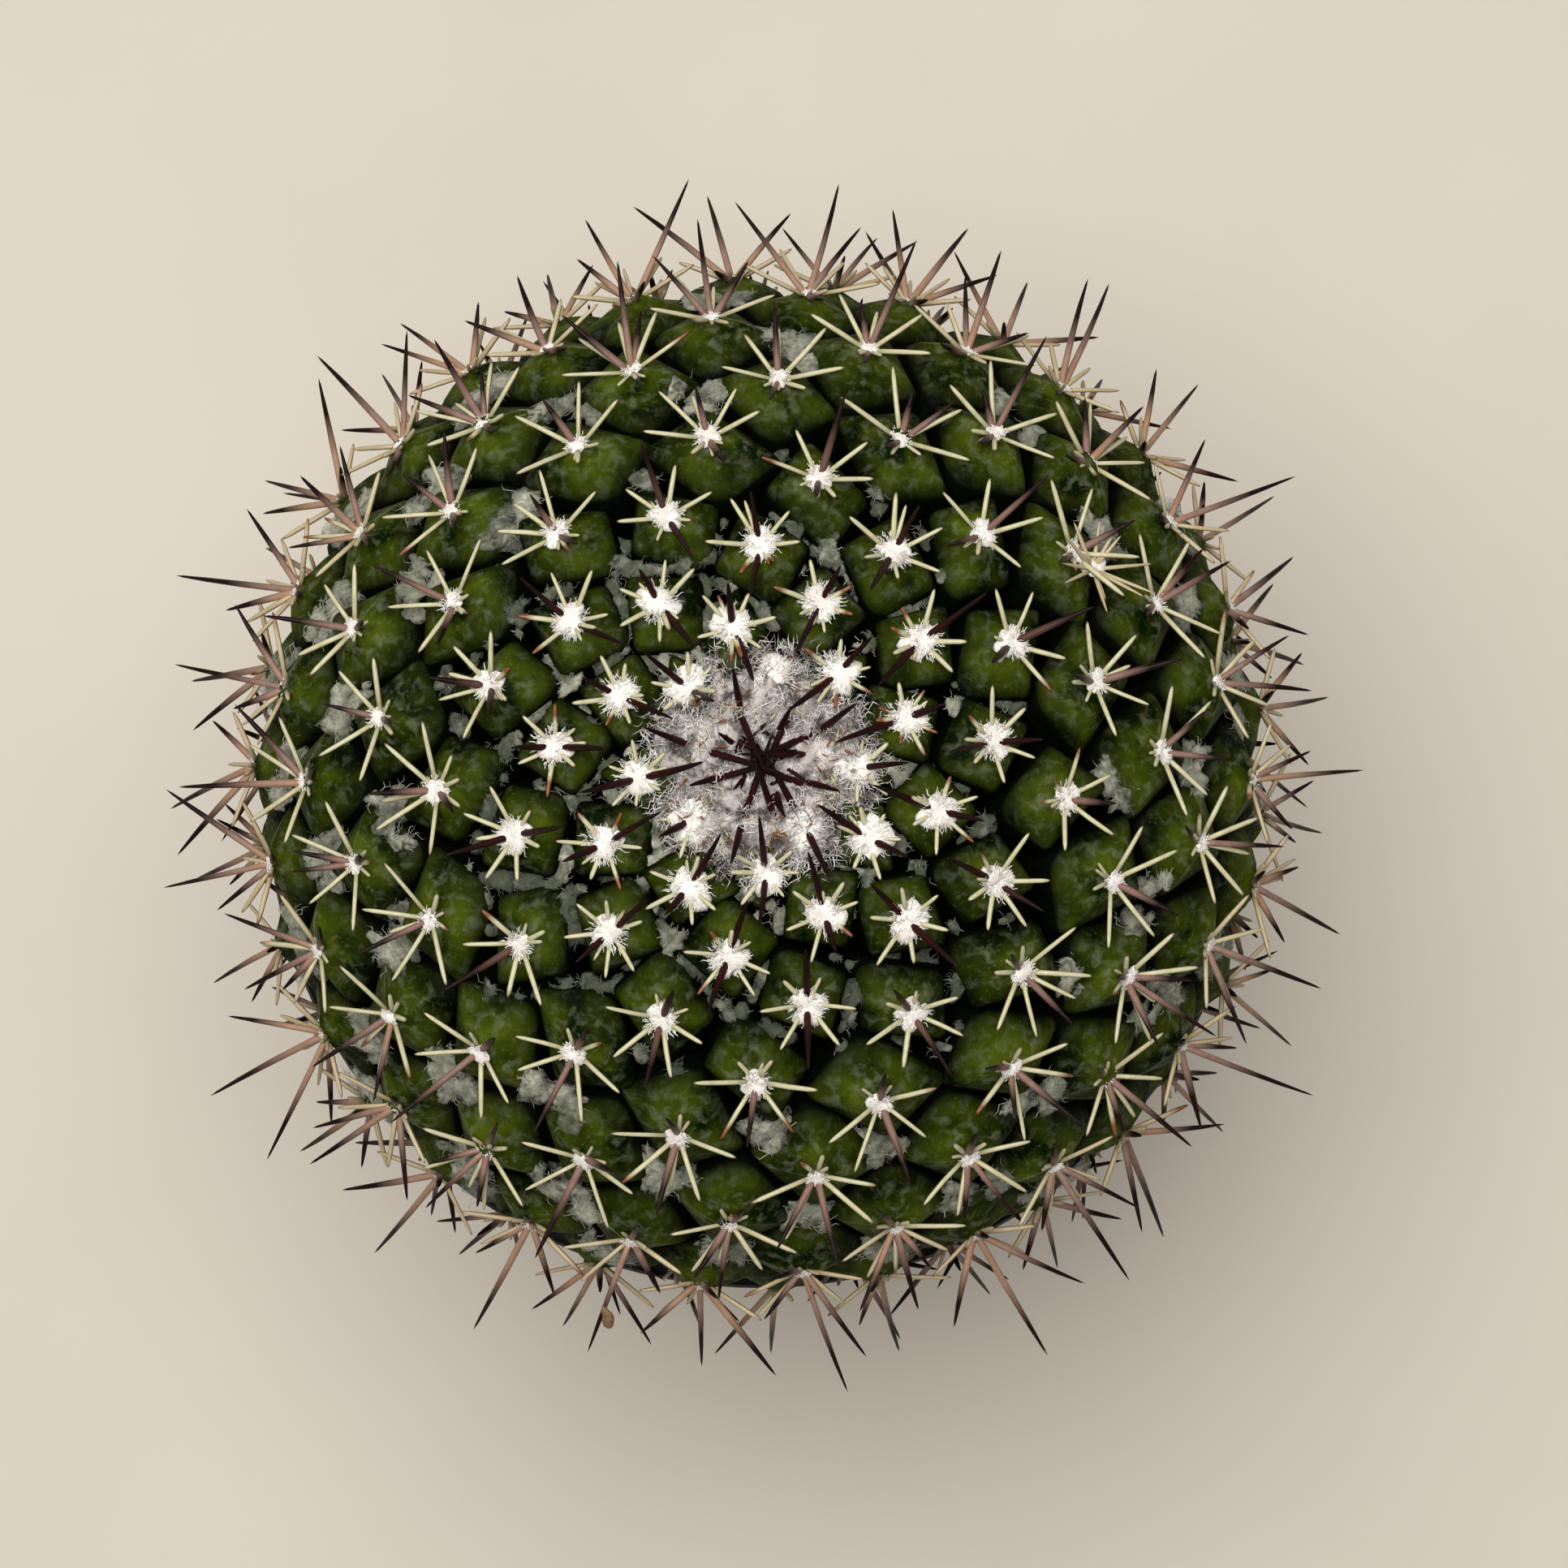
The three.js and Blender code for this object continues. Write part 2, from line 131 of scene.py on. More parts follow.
# Shapes modelled once with Blender's own operators


def only(chosen: bpy.types.Object) -> None:
    """Selects one object and makes it active.

    Args:
        chosen: The object.
    """
    bpy.ops.object.select_all(action="DESELECT")
    chosen.select_set(True)
    bpy.context.view_layer.objects.active = chosen


@contextmanager
def edit_mode(model: bpy.types.Object) -> Iterator[None]:
    """Opens one object in edit mode, and goes back to object mode after the work.

    Args:
        model: The object to open.

    Yields:
        Once, for the work in edit mode.
    """
    only(model)
    bpy.ops.object.mode_set(mode="EDIT")
    yield
    bpy.ops.object.mode_set(mode="OBJECT")


def extrude_rings(rings: Pairs) -> None:
    """Extrudes the selected face up and scales it, ring by ring.

    Args:
        rings: Height and width of each ring, from the one that is there already.
    """
    for (height, width), (next_height, next_width) in pairwise(rings):
        rise, share = next_height - height, next_width / width
        bpy.ops.mesh.extrude_region_move(TRANSFORM_OT_translate={"value": (0, 0, rise)})
        bpy.ops.transform.resize(value=(share, share, 1), center_override=(0, 0, next_height))


def face_outward() -> None:
    """Makes all faces of the mesh in edit mode point out."""
    bpy.ops.mesh.select_all(action="SELECT")
    bpy.ops.mesh.normals_make_consistent(inside=False)


def finish_modifier(chosen: bpy.types.Object, kind: str, **settings: Any) -> None:
    """Adds a modifier to an object and applies it.

    Args:
        chosen: Object to change.
        kind: Modifier type.
        settings: Properties of the modifier.
    """
    modifier = chosen.modifiers.new(kind.lower(), kind)
    for name, value in settings.items():
        setattr(modifier, name, value)
    only(chosen)
    bpy.ops.object.modifier_apply(modifier=modifier.name)


def add_object(name: str, data: bpy.types.ID) -> bpy.types.Object:
    """Puts a new mesh, lamp or camera into the scene as an object.

    Args:
        name: Name of the object.
        data: Its mesh, lamp or camera.

    Returns:
        The object.
    """
    made = bpy.data.objects.new(name, data)
    bpy.context.scene.collection.objects.link(made)
    return made


@dataclass
class Template:
    """Points and faces of a shape that is modelled once and copied many times."""

    points: Array
    loops: Array
    totals: Array

    @classmethod
    def taken_from(cls, model: bpy.types.Object) -> Template:
        """Reads a modelled object and removes it from the scene.

        Args:
            model: The modelled object.

        Returns:
            Its template.
        """
        mesh = model.data
        points = np.empty(len(mesh.vertices) * 3)
        mesh.vertices.foreach_get("co", points)
        loops = np.empty(len(mesh.loops), dtype=np.int64)
        mesh.loops.foreach_get("vertex_index", loops)
        totals = np.empty(len(mesh.polygons), dtype=np.int64)
        mesh.polygons.foreach_get("loop_total", totals)
        bpy.data.objects.remove(model)
        return cls(points.reshape(-1, 3), loops, totals)


def model_needle(sides: int, *rings: Pair) -> Template:
    """Needle of length 1 along +Z, drawn out ring by ring from a round root of radius 1.

    Args:
        sides: Faces round the needle.
        rings: Height and radius of each ring between the root and the tip.

    Returns:
        The needle's template, with its tip at height 1.
    """
    bpy.ops.mesh.primitive_circle_add(vertices=sides, radius=1, fill_type="NGON")
    model = bpy.context.object
    with edit_mode(model):
        # The last ring is so narrow that it can be merged to a point.
        extrude_rings([(0.0, 1.0), *rings, (1.0, 0.02)])
        bpy.ops.mesh.merge(type="CENTER")
        face_outward()
    return Template.taken_from(model)


def model_lump(fineness: int) -> Template:
    """Round lump of radius 1 for wool cushions and grains."""
    bpy.ops.mesh.primitive_ico_sphere_add(subdivisions=fineness, radius=1)
    return Template.taken_from(bpy.context.object)


def revolve(name: str, profile: Pairs, steps: int) -> bpy.types.Object:
    """Closed body spun round +Z from an outline that starts and ends on the axis.

    Args:
        name: Name of the new object.
        profile: Radius and height of each point, in millimetres.
        steps: Steps of the full turn.

    Returns:
        The spun object, with its seam and poles merged and its faces pointing out.
    """
    outline = bpy.data.meshes.new(name)
    edges = [(k, k + 1) for k in range(len(profile) - 1)]
    outline.from_pydata([(radius * MM, 0, height * MM) for radius, height in profile], edges, [])
    body = add_object(name, outline)
    with edit_mode(body):
        bpy.ops.mesh.select_all(action="SELECT")
        bpy.ops.mesh.spin(steps=steps, angle=2 * math.pi, center=(0, 0, 0), axis=(0, 0, 1))
        bpy.ops.mesh.select_all(action="SELECT")
        bpy.ops.mesh.remove_doubles(threshold=1e-6)
        face_outward()
    return body


def points_of(piece: bpy.types.Object) -> Array:
    """Vertex places of an object as rows of x, y and z.

    Args:
        piece: The object.

    Returns:
        The places.
    """
    places = np.empty(len(piece.data.vertices) * 3)
    piece.data.vertices.foreach_get("co", places)
    return places.reshape(-1, 3)


def settle(piece: bpy.types.Object, places: Array) -> None:
    """Moves an object's vertices to new places and shades it smooth.

    Args:
        piece: The object.
        places: New place of each vertex.
    """
    piece.data.vertices.foreach_set("co", places.ravel())
    only(piece)
    bpy.ops.object.shade_smooth()


def mark_points(mesh: bpy.types.Mesh, **marks: Array) -> None:
    """Keeps a number for each vertex under each mark's name, as an attribute for the materials.

    Args:
        mesh: The mesh.
        marks: Numbers by vertex.
    """
    for mark, values in marks.items():
        layer = mesh.attributes.new(mark, "FLOAT", "POINT")
        layer.data.foreach_set("value", values.ravel())


def around(angle: float, radius: float, height: float) -> Array:
    """Place at an angle and a distance round the pot's axis, and at a height."""
    return np.array([radius * math.cos(angle), radius * math.sin(angle), height])


def gather(name: str, template: Template, copies: Array, **marks: Array) -> bpy.types.Object:
    """One piece from many copies of a template, each with its own vertices.

    Args:
        name: Name of the piece.
        template: The shape that is copied.
        copies: Vertex places, by copy, vertex and axis.
        marks: Numbers by copy and vertex, for the materials.

    Returns:
        The new piece, smooth shaded.
    """
    count, size, _ = copies.shape
    mesh = bpy.data.meshes.new(name)
    mesh.vertices.add(count * size)
    mesh.vertices.foreach_set("co", copies.ravel())
    loops = template.loops[None, :] + np.arange(count)[:, None] * size
    totals = np.tile(template.totals, count)
    mesh.loops.add(loops.size)
    mesh.loops.foreach_set("vertex_index", loops.ravel())
    mesh.polygons.add(totals.size)
    mesh.polygons.foreach_set("loop_start", np.concatenate([[0], np.cumsum(totals)[:-1]]))
    mesh.polygons.foreach_set("loop_total", totals)
    mesh.polygons.foreach_set("use_smooth", np.ones(totals.size, dtype=bool))
    mesh.update(calc_edges=True)
    mark_points(mesh, **{mark: np.broadcast_to(values, (count, size)) for mark, values in marks.items()})
    return add_object(name, mesh)


def ripple(places: Array, scale: float, seed: int) -> Array:
    """Smooth uneven field between about -1 and 1, from waves that run in seeded directions.

    Args:
        places: Places, with x, y and z along the last axis, in metres.
        scale: Size of the lumps, in metres.
        seed: Seed of the waves.

    Returns:
        The field at each place.
    """
    draw = np.random.default_rng(seed)
    field_sum = np.zeros(places.shape[:-1])
    for _ in range(WAVES):
        way = unit(draw.normal(size=3)) * draw.uniform(*WAVE_PACES) * math.pi / scale
        field_sum += np.sin(places @ way + draw.uniform(0, 2 * math.pi))
    return field_sum / WAVE_SUM


# Materials. A range node takes numbers 1 and 2 in and gives 3 and 4 out, which are 0 and 1 unless they
# are set. A colour mix takes its share at socket 0 and its two colours at 6 and 7.


def pitch(size: float) -> float:
    """Scale of a noise whose lumps are about this many millimetres wide."""
    return 0.6 / (size * MM)


def add_node(
    tree: bpy.types.NodeTree,
    kind: str,
    links: dict[str | int, Any] | None = None,
    out: str | int = 0,
    **settings: Any,
) -> bpy.types.NodeSocket | None:
    """Adds a node to a material.

    Args:
        tree: Node tree of the material.
        kind: Node type, without its ShaderNode prefix.
        links: Input sockets, each with the value, hex colour or output socket that it takes.
        out: Name or number of the output that is given back.
        settings: Properties of the node; stops gives the two places and hex colours of a colour ramp.

    Returns:
        The chosen output socket, or None from a node without one.
    """
    made = tree.nodes.new("ShaderNode" + kind)
    stops = settings.pop("stops", [])
    for k, (place, code) in enumerate(stops):
        made.color_ramp.elements[k].position = place
        made.color_ramp.elements[k].color = linear(code)
    for name, value in settings.items():
        setattr(made, name, value)
    for socket, value in (links or {}).items():
        if isinstance(value, bpy.types.NodeSocket):
            tree.links.new(value, made.inputs[socket])
        else:
            made.inputs[socket].default_value = linear(value) if isinstance(value, str) else value
    return made.outputs[out] if made.outputs else None


@dataclass(frozen=True)
class Finish:
    """What every finish shares: a name for the real material, and a shader that its own class wires."""

    name: str

    def surface(self, tree: bpy.types.NodeTree) -> dict[str, Any]:
        """Adds the finish's own nodes and gives the inputs of its shader."""
        raise NotImplementedError

    def layered(self, tree: bpy.types.NodeTree, colour: Any, layers: list[tuple]) -> Any:
        """Lays colours over a first one, each where a value rises.

        Args:
            tree: Node tree of the material.
            colour: Output socket of the first colour.
            layers: For each colour its value, where that starts and ends, its most share and its code.

        Returns:
            Output socket of the last colour.
        """
        for value, low, high, most, code in layers:
            share = add_node(tree, "MapRange", {"Value": value, 1: low, 2: high, 4: most})
            colour = add_node(tree, "Mix", {0: share, 6: colour, 7: code}, 2, data_type="RGBA")
        return colour

    def make(self) -> bpy.types.Material:
        """Makes the Blender material.

        Returns:
            The material.
        """
        material = bpy.data.materials.new(self.name)
        material.use_nodes = True
        tree = material.node_tree
        tree.nodes.clear()
        shader = add_node(tree, "BsdfPrincipled", self.surface(tree))
        add_node(tree, "OutputMaterial", {"Surface": shader})
        return material


@dataclass(frozen=True)
class WaxedSkin(Finish):
    """Living cactus skin with its thin coat of wax."""

    # Chlorophyll under wax gives a deep, mottled green with a wide, soft highlight. The wax is thickest
    # and palest along the ridges. The furrows get painted shade: the skin is painted near black with
    # depth under the tip, where the narrow furrows lie in shadow.
    name: str = "waxed_cactus_skin"
    deep: str = "#071600"
    green: str = "#45520c"
    pale: str = "#8f9c6e"
    scurf: str = "#747b62"
    # Painted shade: near-black colour of the shaded furrows and of the core under them.
    furrow: str = "#040701"
    cork: str = "#6b5a3c"

    def surface(self, tree: bpy.types.NodeTree) -> dict[str, Any]:
        """Mottled green with fine pale pores, grey scurf, pale ridges, painted shade in the furrows and a
        corky foot.

        Args:
            tree: Node tree of the material.

        Returns:
            Inputs of the shader by name.
        """
        place = add_node(tree, "TexCoord", out="Object")
        patches, pores, relief = (
            add_node(tree, "TexNoise", {"Vector": place, "Scale": pitch(size), "Detail": detail})
            for size, detail in ((2.4, 6), (0.3, 1), (1.0, 8))
        )
        flakes = {"Vector": place, "Scale": pitch(0.7), "Detail": 9, "Distortion": 0.4}
        scurf = add_node(tree, "TexNoise", flakes)
        ridge, depth, age = (
            add_node(tree, "Attribute", out="Fac", attribute_name=mark)
            for mark in ("ridge", "depth", "age")
        )
        stops = [(0.36, self.deep), (0.64, self.green)]
        green = add_node(tree, "ValToRGB", {"Fac": patches}, stops=stops)
        layers = [
            (pores, 0.62, 0.74, 0.12, self.pale),
            (scurf, 0.5, 0.7, 0.5, self.scurf),
            (ridge, 0.3, 1.0, 0.4, self.pale),
            # Painted shade: the skin goes near black with depth under the tip, in the furrows.
            (depth, 0.11, 0.38, 1.0, self.furrow),
            (age, 0.9, 1.0, 0.7, self.cork),
        ]
        satin = {"Value": patches, 1: 0.3, 2: 0.7, 3: 0.52, 4: 0.7}
        return {
            "Base Color": self.layered(tree, green, layers),
            "Roughness": add_node(tree, "MapRange", satin),
            "IOR": 1.42,
            "Specular IOR Level": 0.05,
            "Subsurface Weight": 0.05,
            "Subsurface Radius": (0.6 * MM, 1.1 * MM, 0.3 * MM),
            "Subsurface Scale": 1.0,
            "Normal": add_node(tree, "Bump", {"Height": relief, "Strength": 0.8, "Distance": 0.5 * MM}),
        }


@dataclass(frozen=True)
class PlantWool(Finish):
    """Plant wool: fine dead hairs full of air."""

    # Air between the hairs scatters all the light, so wool is bright, matt and soft at its edges. Single
    # hairs are 0.02 mm thick, too fine to show, so the relief is drawn at 0.16 mm. Old webs wear thin, so
    # a finish with gaps lets what lies under it show, most of all towards each lump's rim.
    name: str = "plant_wool_white"
    shade: str = "#e4e0dc"
    light: str = "#fbfaf8"
    lump: float = 0.8
    # Painted shade: a dark colour and its share, laid in patches where the felt's pits lie in shadow.
    pit_shade: str = "#2f2521"
    pit_shade_share: float = 0.0
    gaps: Pair | None = None

    def surface(self, tree: bpy.types.NodeTree) -> dict[str, Any]:
        """Uneven off-white with a felted relief and a soft sheen, painted shade in the pits of old felt,
        gaps in old webs.

        Args:
            tree: Node tree of the material.

        Returns:
            Inputs of the shader by name.
        """
        place = add_node(tree, "TexCoord", out="Object")
        tangle, pit_shade_noise = (
            add_node(tree, "TexNoise", {"Vector": place, "Scale": pitch(size), "Detail": detail})
            for size, detail in ((self.lump, 6), (1.1, 5))
        )
        hairs = {"Vector": place, "Scale": pitch(0.16), "Detail": 3, "Distortion": 1.5}
        fibres = add_node(tree, "TexNoise", hairs)
        own = add_node(tree, "Attribute", out="Fac", attribute_name="tone")
        tone = add_node(tree, "Math", {0: tangle, 1: own}, operation="ADD")
        wool = add_node(tree, "ValToRGB", {"Fac": tone}, stops=[(0.3, self.shade), (0.8, self.light)])
        cover = 1.0
        if self.gaps:
            threads = {"Vector": place, "Scale": pitch(0.5), "Detail": 8, "Distortion": 0.8}
            web = add_node(tree, "TexNoise", threads)
            core = add_node(tree, "Attribute", out="Fac", attribute_name="core")
            mat = add_node(tree, "Math", {0: core, 1: 0.3, 2: web}, operation="MULTIPLY_ADD")
            cover = add_node(tree, "MapRange", {"Value": mat, 1: self.gaps[0], 2: self.gaps[1]})
        return {
            # Painted shade: dark patches for the shaded pits of the felt.
            "Base Color": self.layered(tree, wool, [(pit_shade_noise, 0.5, 0.62, self.pit_shade_share, self.pit_shade)]),
            "Alpha": cover,
            "Roughness": 0.95,
            "Specular IOR Level": 0.15,
            "Sheen Weight": 0.25,
            "Normal": add_node(tree, "Bump", {"Height": fibres, "Strength": 0.7, "Distance": 0.2 * MM}),
        }


@dataclass(frozen=True)
class CreamHorn(Finish):
    """Radial spine: cream horn, grown in one season and dried from its tip."""

    # Thin horn passes a little light, so it looks waxy and bright, and some tips have foxed brown.
    name: str = "spine_horn_cream"
    root: str = "#aca77c"
    shaft: str = "#c8c6a5"
    band: str = "#a39e78"
    dull: str = "#b09a7a"
    tip: str = "#7d4d2c"
    point: str = "#5b3419"

    def surface(self, tree: bpy.types.NodeTree) -> dict[str, Any]:
        """Cream shaft, a little yellower at its root, with faint bands and some brown tips.

        Args:
            tree: Node tree of the material.

        Returns:
            Inputs of the shader by name.
        """
        place = add_node(tree, "TexCoord", out="Object")
        along, tone, age = (
            add_node(tree, "Attribute", out="Fac", attribute_name=mark)
            for mark in ("along", "tone", "age")
        )
        bands = add_node(tree, "TexNoise", {"Vector": place, "Scale": pitch(0.5), "Detail": 2})
        dried = add_node(tree, "MapRange", {"Value": tone, 1: 0.5, 2: 0.8}, clamp=False)
        tip = add_node(tree, "Math", {0: along, 1: dried}, operation="MULTIPLY")
        shaft = add_node(tree, "ValToRGB", {"Fac": along}, stops=[(0.0, self.root), (0.3, self.shaft)])
        layers = [
            (bands, 0.45, 0.75, 0.5, self.band),
            (age, 0.7, 1.0, 0.8, self.dull),
            (tip, 0.7, 0.92, 1.0, self.tip),
            (along, 0.93, 1.0, 0.9, self.point),
        ]
        return {
            "Base Color": self.layered(tree, shaft, layers),
            "Roughness": 0.42,
            "IOR": 1.53,
            "Subsurface Weight": 0.1,
            "Subsurface Radius": (0.4 * MM, 0.3 * MM, 0.15 * MM),
            "Subsurface Scale": 1.0,
        }


@dataclass(frozen=True)
class DarkHorn(Finish):
    """Central spine: hard, dense horn."""

    # Nearly black while young, it weathers to a mauve grey from the root up, and the oldest fox to
    # tan. The tips stay dark.
    name: str = "spine_horn_dark"
    young: str = "#2b0a0a"
    grown: str = "#83665e"
    old: str = "#a67f61"
    bloom: str = "#9f8a80"
    tip: str = "#190806"

    def surface(self, tree: bpy.types.NodeTree) -> dict[str, Any]:
        """Colour by age, streaks of pale weathering, and a dark tip of uneven length.

        Args:
            tree: Node tree of the material.

        Returns:
            Inputs of the shader by name.
        """
        place = add_node(tree, "TexCoord", out="Object")
        along, tone, age = (
            add_node(tree, "Attribute", out="Fac", attribute_name=mark)
            for mark in ("along", "tone", "age")
        )
        streaks = add_node(tree, "TexNoise", {"Vector": place, "Scale": pitch(0.6), "Detail": 4})
        weathered = add_node(tree, "Math", {0: streaks, 1: age}, operation="MULTIPLY")
        reach, fade = (
            add_node(tree, "Math", {0: value, 1: share, 2: base}, operation="MULTIPLY_ADD")
            for value, share, base in ((tone, -0.2, along), (along, -0.4, age))
        )
        foxed = add_node(tree, "Math", {0: tone, 1: 0.5, 2: fade}, operation="MULTIPLY_ADD")
        shaft = add_node(tree, "ValToRGB", {"Fac": age}, stops=[(0.34, self.young), (0.48, self.grown)])
        layers = [
            (foxed, 0.95, 1.2, 1.0, self.old),
            (weathered, 0.28, 0.55, 0.45, self.bloom),
            (reach, 0.2, 0.56, 1.0, self.tip),
        ]
        return {
            "Base Color": self.layered(tree, shaft, layers),
            "Roughness": 0.48,
            "IOR": 1.53,
            "Specular IOR Level": 0.15,
        }


@dataclass(frozen=True)
class MouldedPolypropylene(Finish):
    """Black polypropylene, injection moulded."""

    # Satin black with the fine skin of the mould, scuffs from the nursery bench, and lime and soil
    # dust that water has left round the foot and rim. The heights are those between which it thins out.
    name: str = "moulded_black_polypropylene"
    black: str = "#0b0c0d"
    worn: str = "#1b1c1e"
    dust: str = "#6f675c"
    foot_dust: Pair = (2 * MM, 26 * MM)
    rim_dust: Pair = (80 * MM, 88 * MM)

    def surface(self, tree: bpy.types.NodeTree) -> dict[str, Any]:
        """Near black with scuffs, dusty foot and rim, and an eggshell relief.

        Args:
            tree: Node tree of the material.

        Returns:
            Inputs of the shader by name.
        """
        place = add_node(tree, "TexCoord", out="Object")
        height = add_node(tree, "SeparateXYZ", {0: place}, "Z")
        scuffs, spots, skin = (
            add_node(tree, "TexNoise", {"Vector": place, "Scale": pitch(size), "Detail": detail})
            for size, detail in ((6, 6), (1.8, 5), (0.35, 2))
        )
        low, high = self.foot_dust
        foot = add_node(tree, "MapRange", {"Value": height, 1: low, 2: high, 3: 0.3, 4: 0.0})
        low, high = self.rim_dust
        rim = add_node(tree, "MapRange", {"Value": height, 1: low, 2: high, 4: 0.12})
        places = add_node(tree, "Math", {0: foot, 1: rim}, operation="ADD")
        dust = add_node(tree, "Math", {0: spots, 1: places}, operation="ADD")
        black = add_node(tree, "ValToRGB", {"Fac": scuffs}, stops=[(0.48, self.black), (0.75, self.worn)])
        satin = {"Value": scuffs, 1: 0.4, 2: 0.7, 3: 0.46, 4: 0.66}
        return {
            "Base Color": self.layered(tree, black, [(dust, 0.72, 0.95, 0.8, self.dust)]),
            "Roughness": add_node(tree, "MapRange", satin),
            "IOR": 1.49,
            "Specular IOR Level": 0.14,
            "Normal": add_node(tree, "Bump", {"Height": skin, "Strength": 0.3, "Distance": 0.06 * MM}),
        }


@dataclass(frozen=True)
class MixGrain(Finish):
    """Grain of the potting mix, scrap of dead plant or rough plaster."""

    # A broken, porous surface is matt and shows two tones: dusty outside and darker in its pores.
    name: str = "peat"
    dark: str = "#241b14"
    light: str = "#4d3b2a"
    lump: float = 1.2
    roughness: float = 0.95

    def surface(self, tree: bpy.types.NodeTree) -> dict[str, Any]:
        """Two tones by lump and by grain, with a crumbly relief.

        Args:
            tree: Node tree of the material.

        Returns:
            Inputs of the shader by name.
        """
        place = add_node(tree, "TexCoord", out="Object")
        lumps = add_node(tree, "TexNoise", {"Vector": place, "Scale": pitch(self.lump), "Detail": 6})
        own = add_node(tree, "Attribute", out="Fac", attribute_name="tone")
        tone = add_node(tree, "Math", {0: lumps, 1: own}, operation="ADD")
        stops = [(0.3, self.dark), (0.9, self.light)]
        return {
            "Base Color": add_node(tree, "ValToRGB", {"Fac": tone}, stops=stops),
            "Roughness": self.roughness,
            "Normal": add_node(tree, "Bump", {"Height": lumps, "Strength": 0.7, "Distance": 0.4 * MM}),
        }


class Finishes(Enum):
    """The finishes of this plant and its stage, each made once."""

    SKIN = WaxedSkin()
    WOOL = PlantWool()
    # The felted wool paints shade into its pits.
    FELT = PlantWool("plant_wool_felted", "#857e7c", "#f4f0ee", 0.9, pit_shade_share=0.85)
    AXIL = PlantWool("plant_wool_weathered", "#5d6455", "#c5c7b7", 0.8, gaps=(0.52, 0.98))
    FRAYED = PlantWool("plant_wool_frayed", "#585e50", "#b3b6a6", 0.8)
    RADIAL = CreamHorn()
    CENTRAL = DarkHorn()
    POT = MouldedPolypropylene()
    PEAT = MixGrain()
    PUMICE = MixGrain("crushed_pumice", "#6e6558", "#a89c8a", 0.5)
    PERLITE = MixGrain("expanded_perlite", "#bdb8ae", "#efece4", 0.4, 0.85)
    BARK = MixGrain("pine_bark", "#2e1b10", "#6b4427", 0.7, 0.8)
    SCAB = MixGrain("cork_scab", "#9c6a36", "#d3a468", 0.5, 0.7)
    HUSK = MixGrain("dried_flower", "#4d3a26", "#8e7350", 0.5, 0.7)
    FLOOR = MixGrain("pale_lime_plaster", "#cec8be", "#dad4ca", 60, 0.7)

    def material(self) -> bpy.types.Material:
        """The Blender material, made at its first use."""
        return bpy.data.materials.get(self.value.name) or self.value.make()


def dress(piece: bpy.types.Object, finish: Finishes, slot: str, *nodes: str) -> bpy.types.Object:
    """Gives a piece its finish and ties it to the frame.

    Args:
        piece: The new piece.
        finish: Its finish.
        slot: Name of its material slot; not used.
        nodes: CAD nodes that it stands for.

    Returns:
        The same piece.
    """
    piece.data.materials.clear()
    piece.data.materials.append(finish.material())
    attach(piece, BODY)
    if nodes:
        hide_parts(*nodes)
    LOG.info("%s: %d faces, %s", piece.name, len(piece.data.polygons), finish.value.name)
    return piece


# The rule that the plant grows by


@dataclass(frozen=True)
class Areole:
    """One areole: its place, its tubercle's axis and length, and the ways round and down the stem."""

    index: int
    place: Array
    axis: Array
    round: Array
    down: Array
    length: float

    def direction(self, bearing: float, lift: float) -> Array:
        """Direction from the areole.

        Args:
            bearing: Turn from straight down the stem, in degrees.
            lift: Rise from the areole's plane, in degrees.

        Returns:
            The direction, of length 1.
        """
        turn, rise = math.radians(bearing), math.radians(lift)
        flat = self.down * math.cos(turn) + self.round * math.sin(turn)
        return flat * math.cos(rise) + self.axis * math.sin(rise)


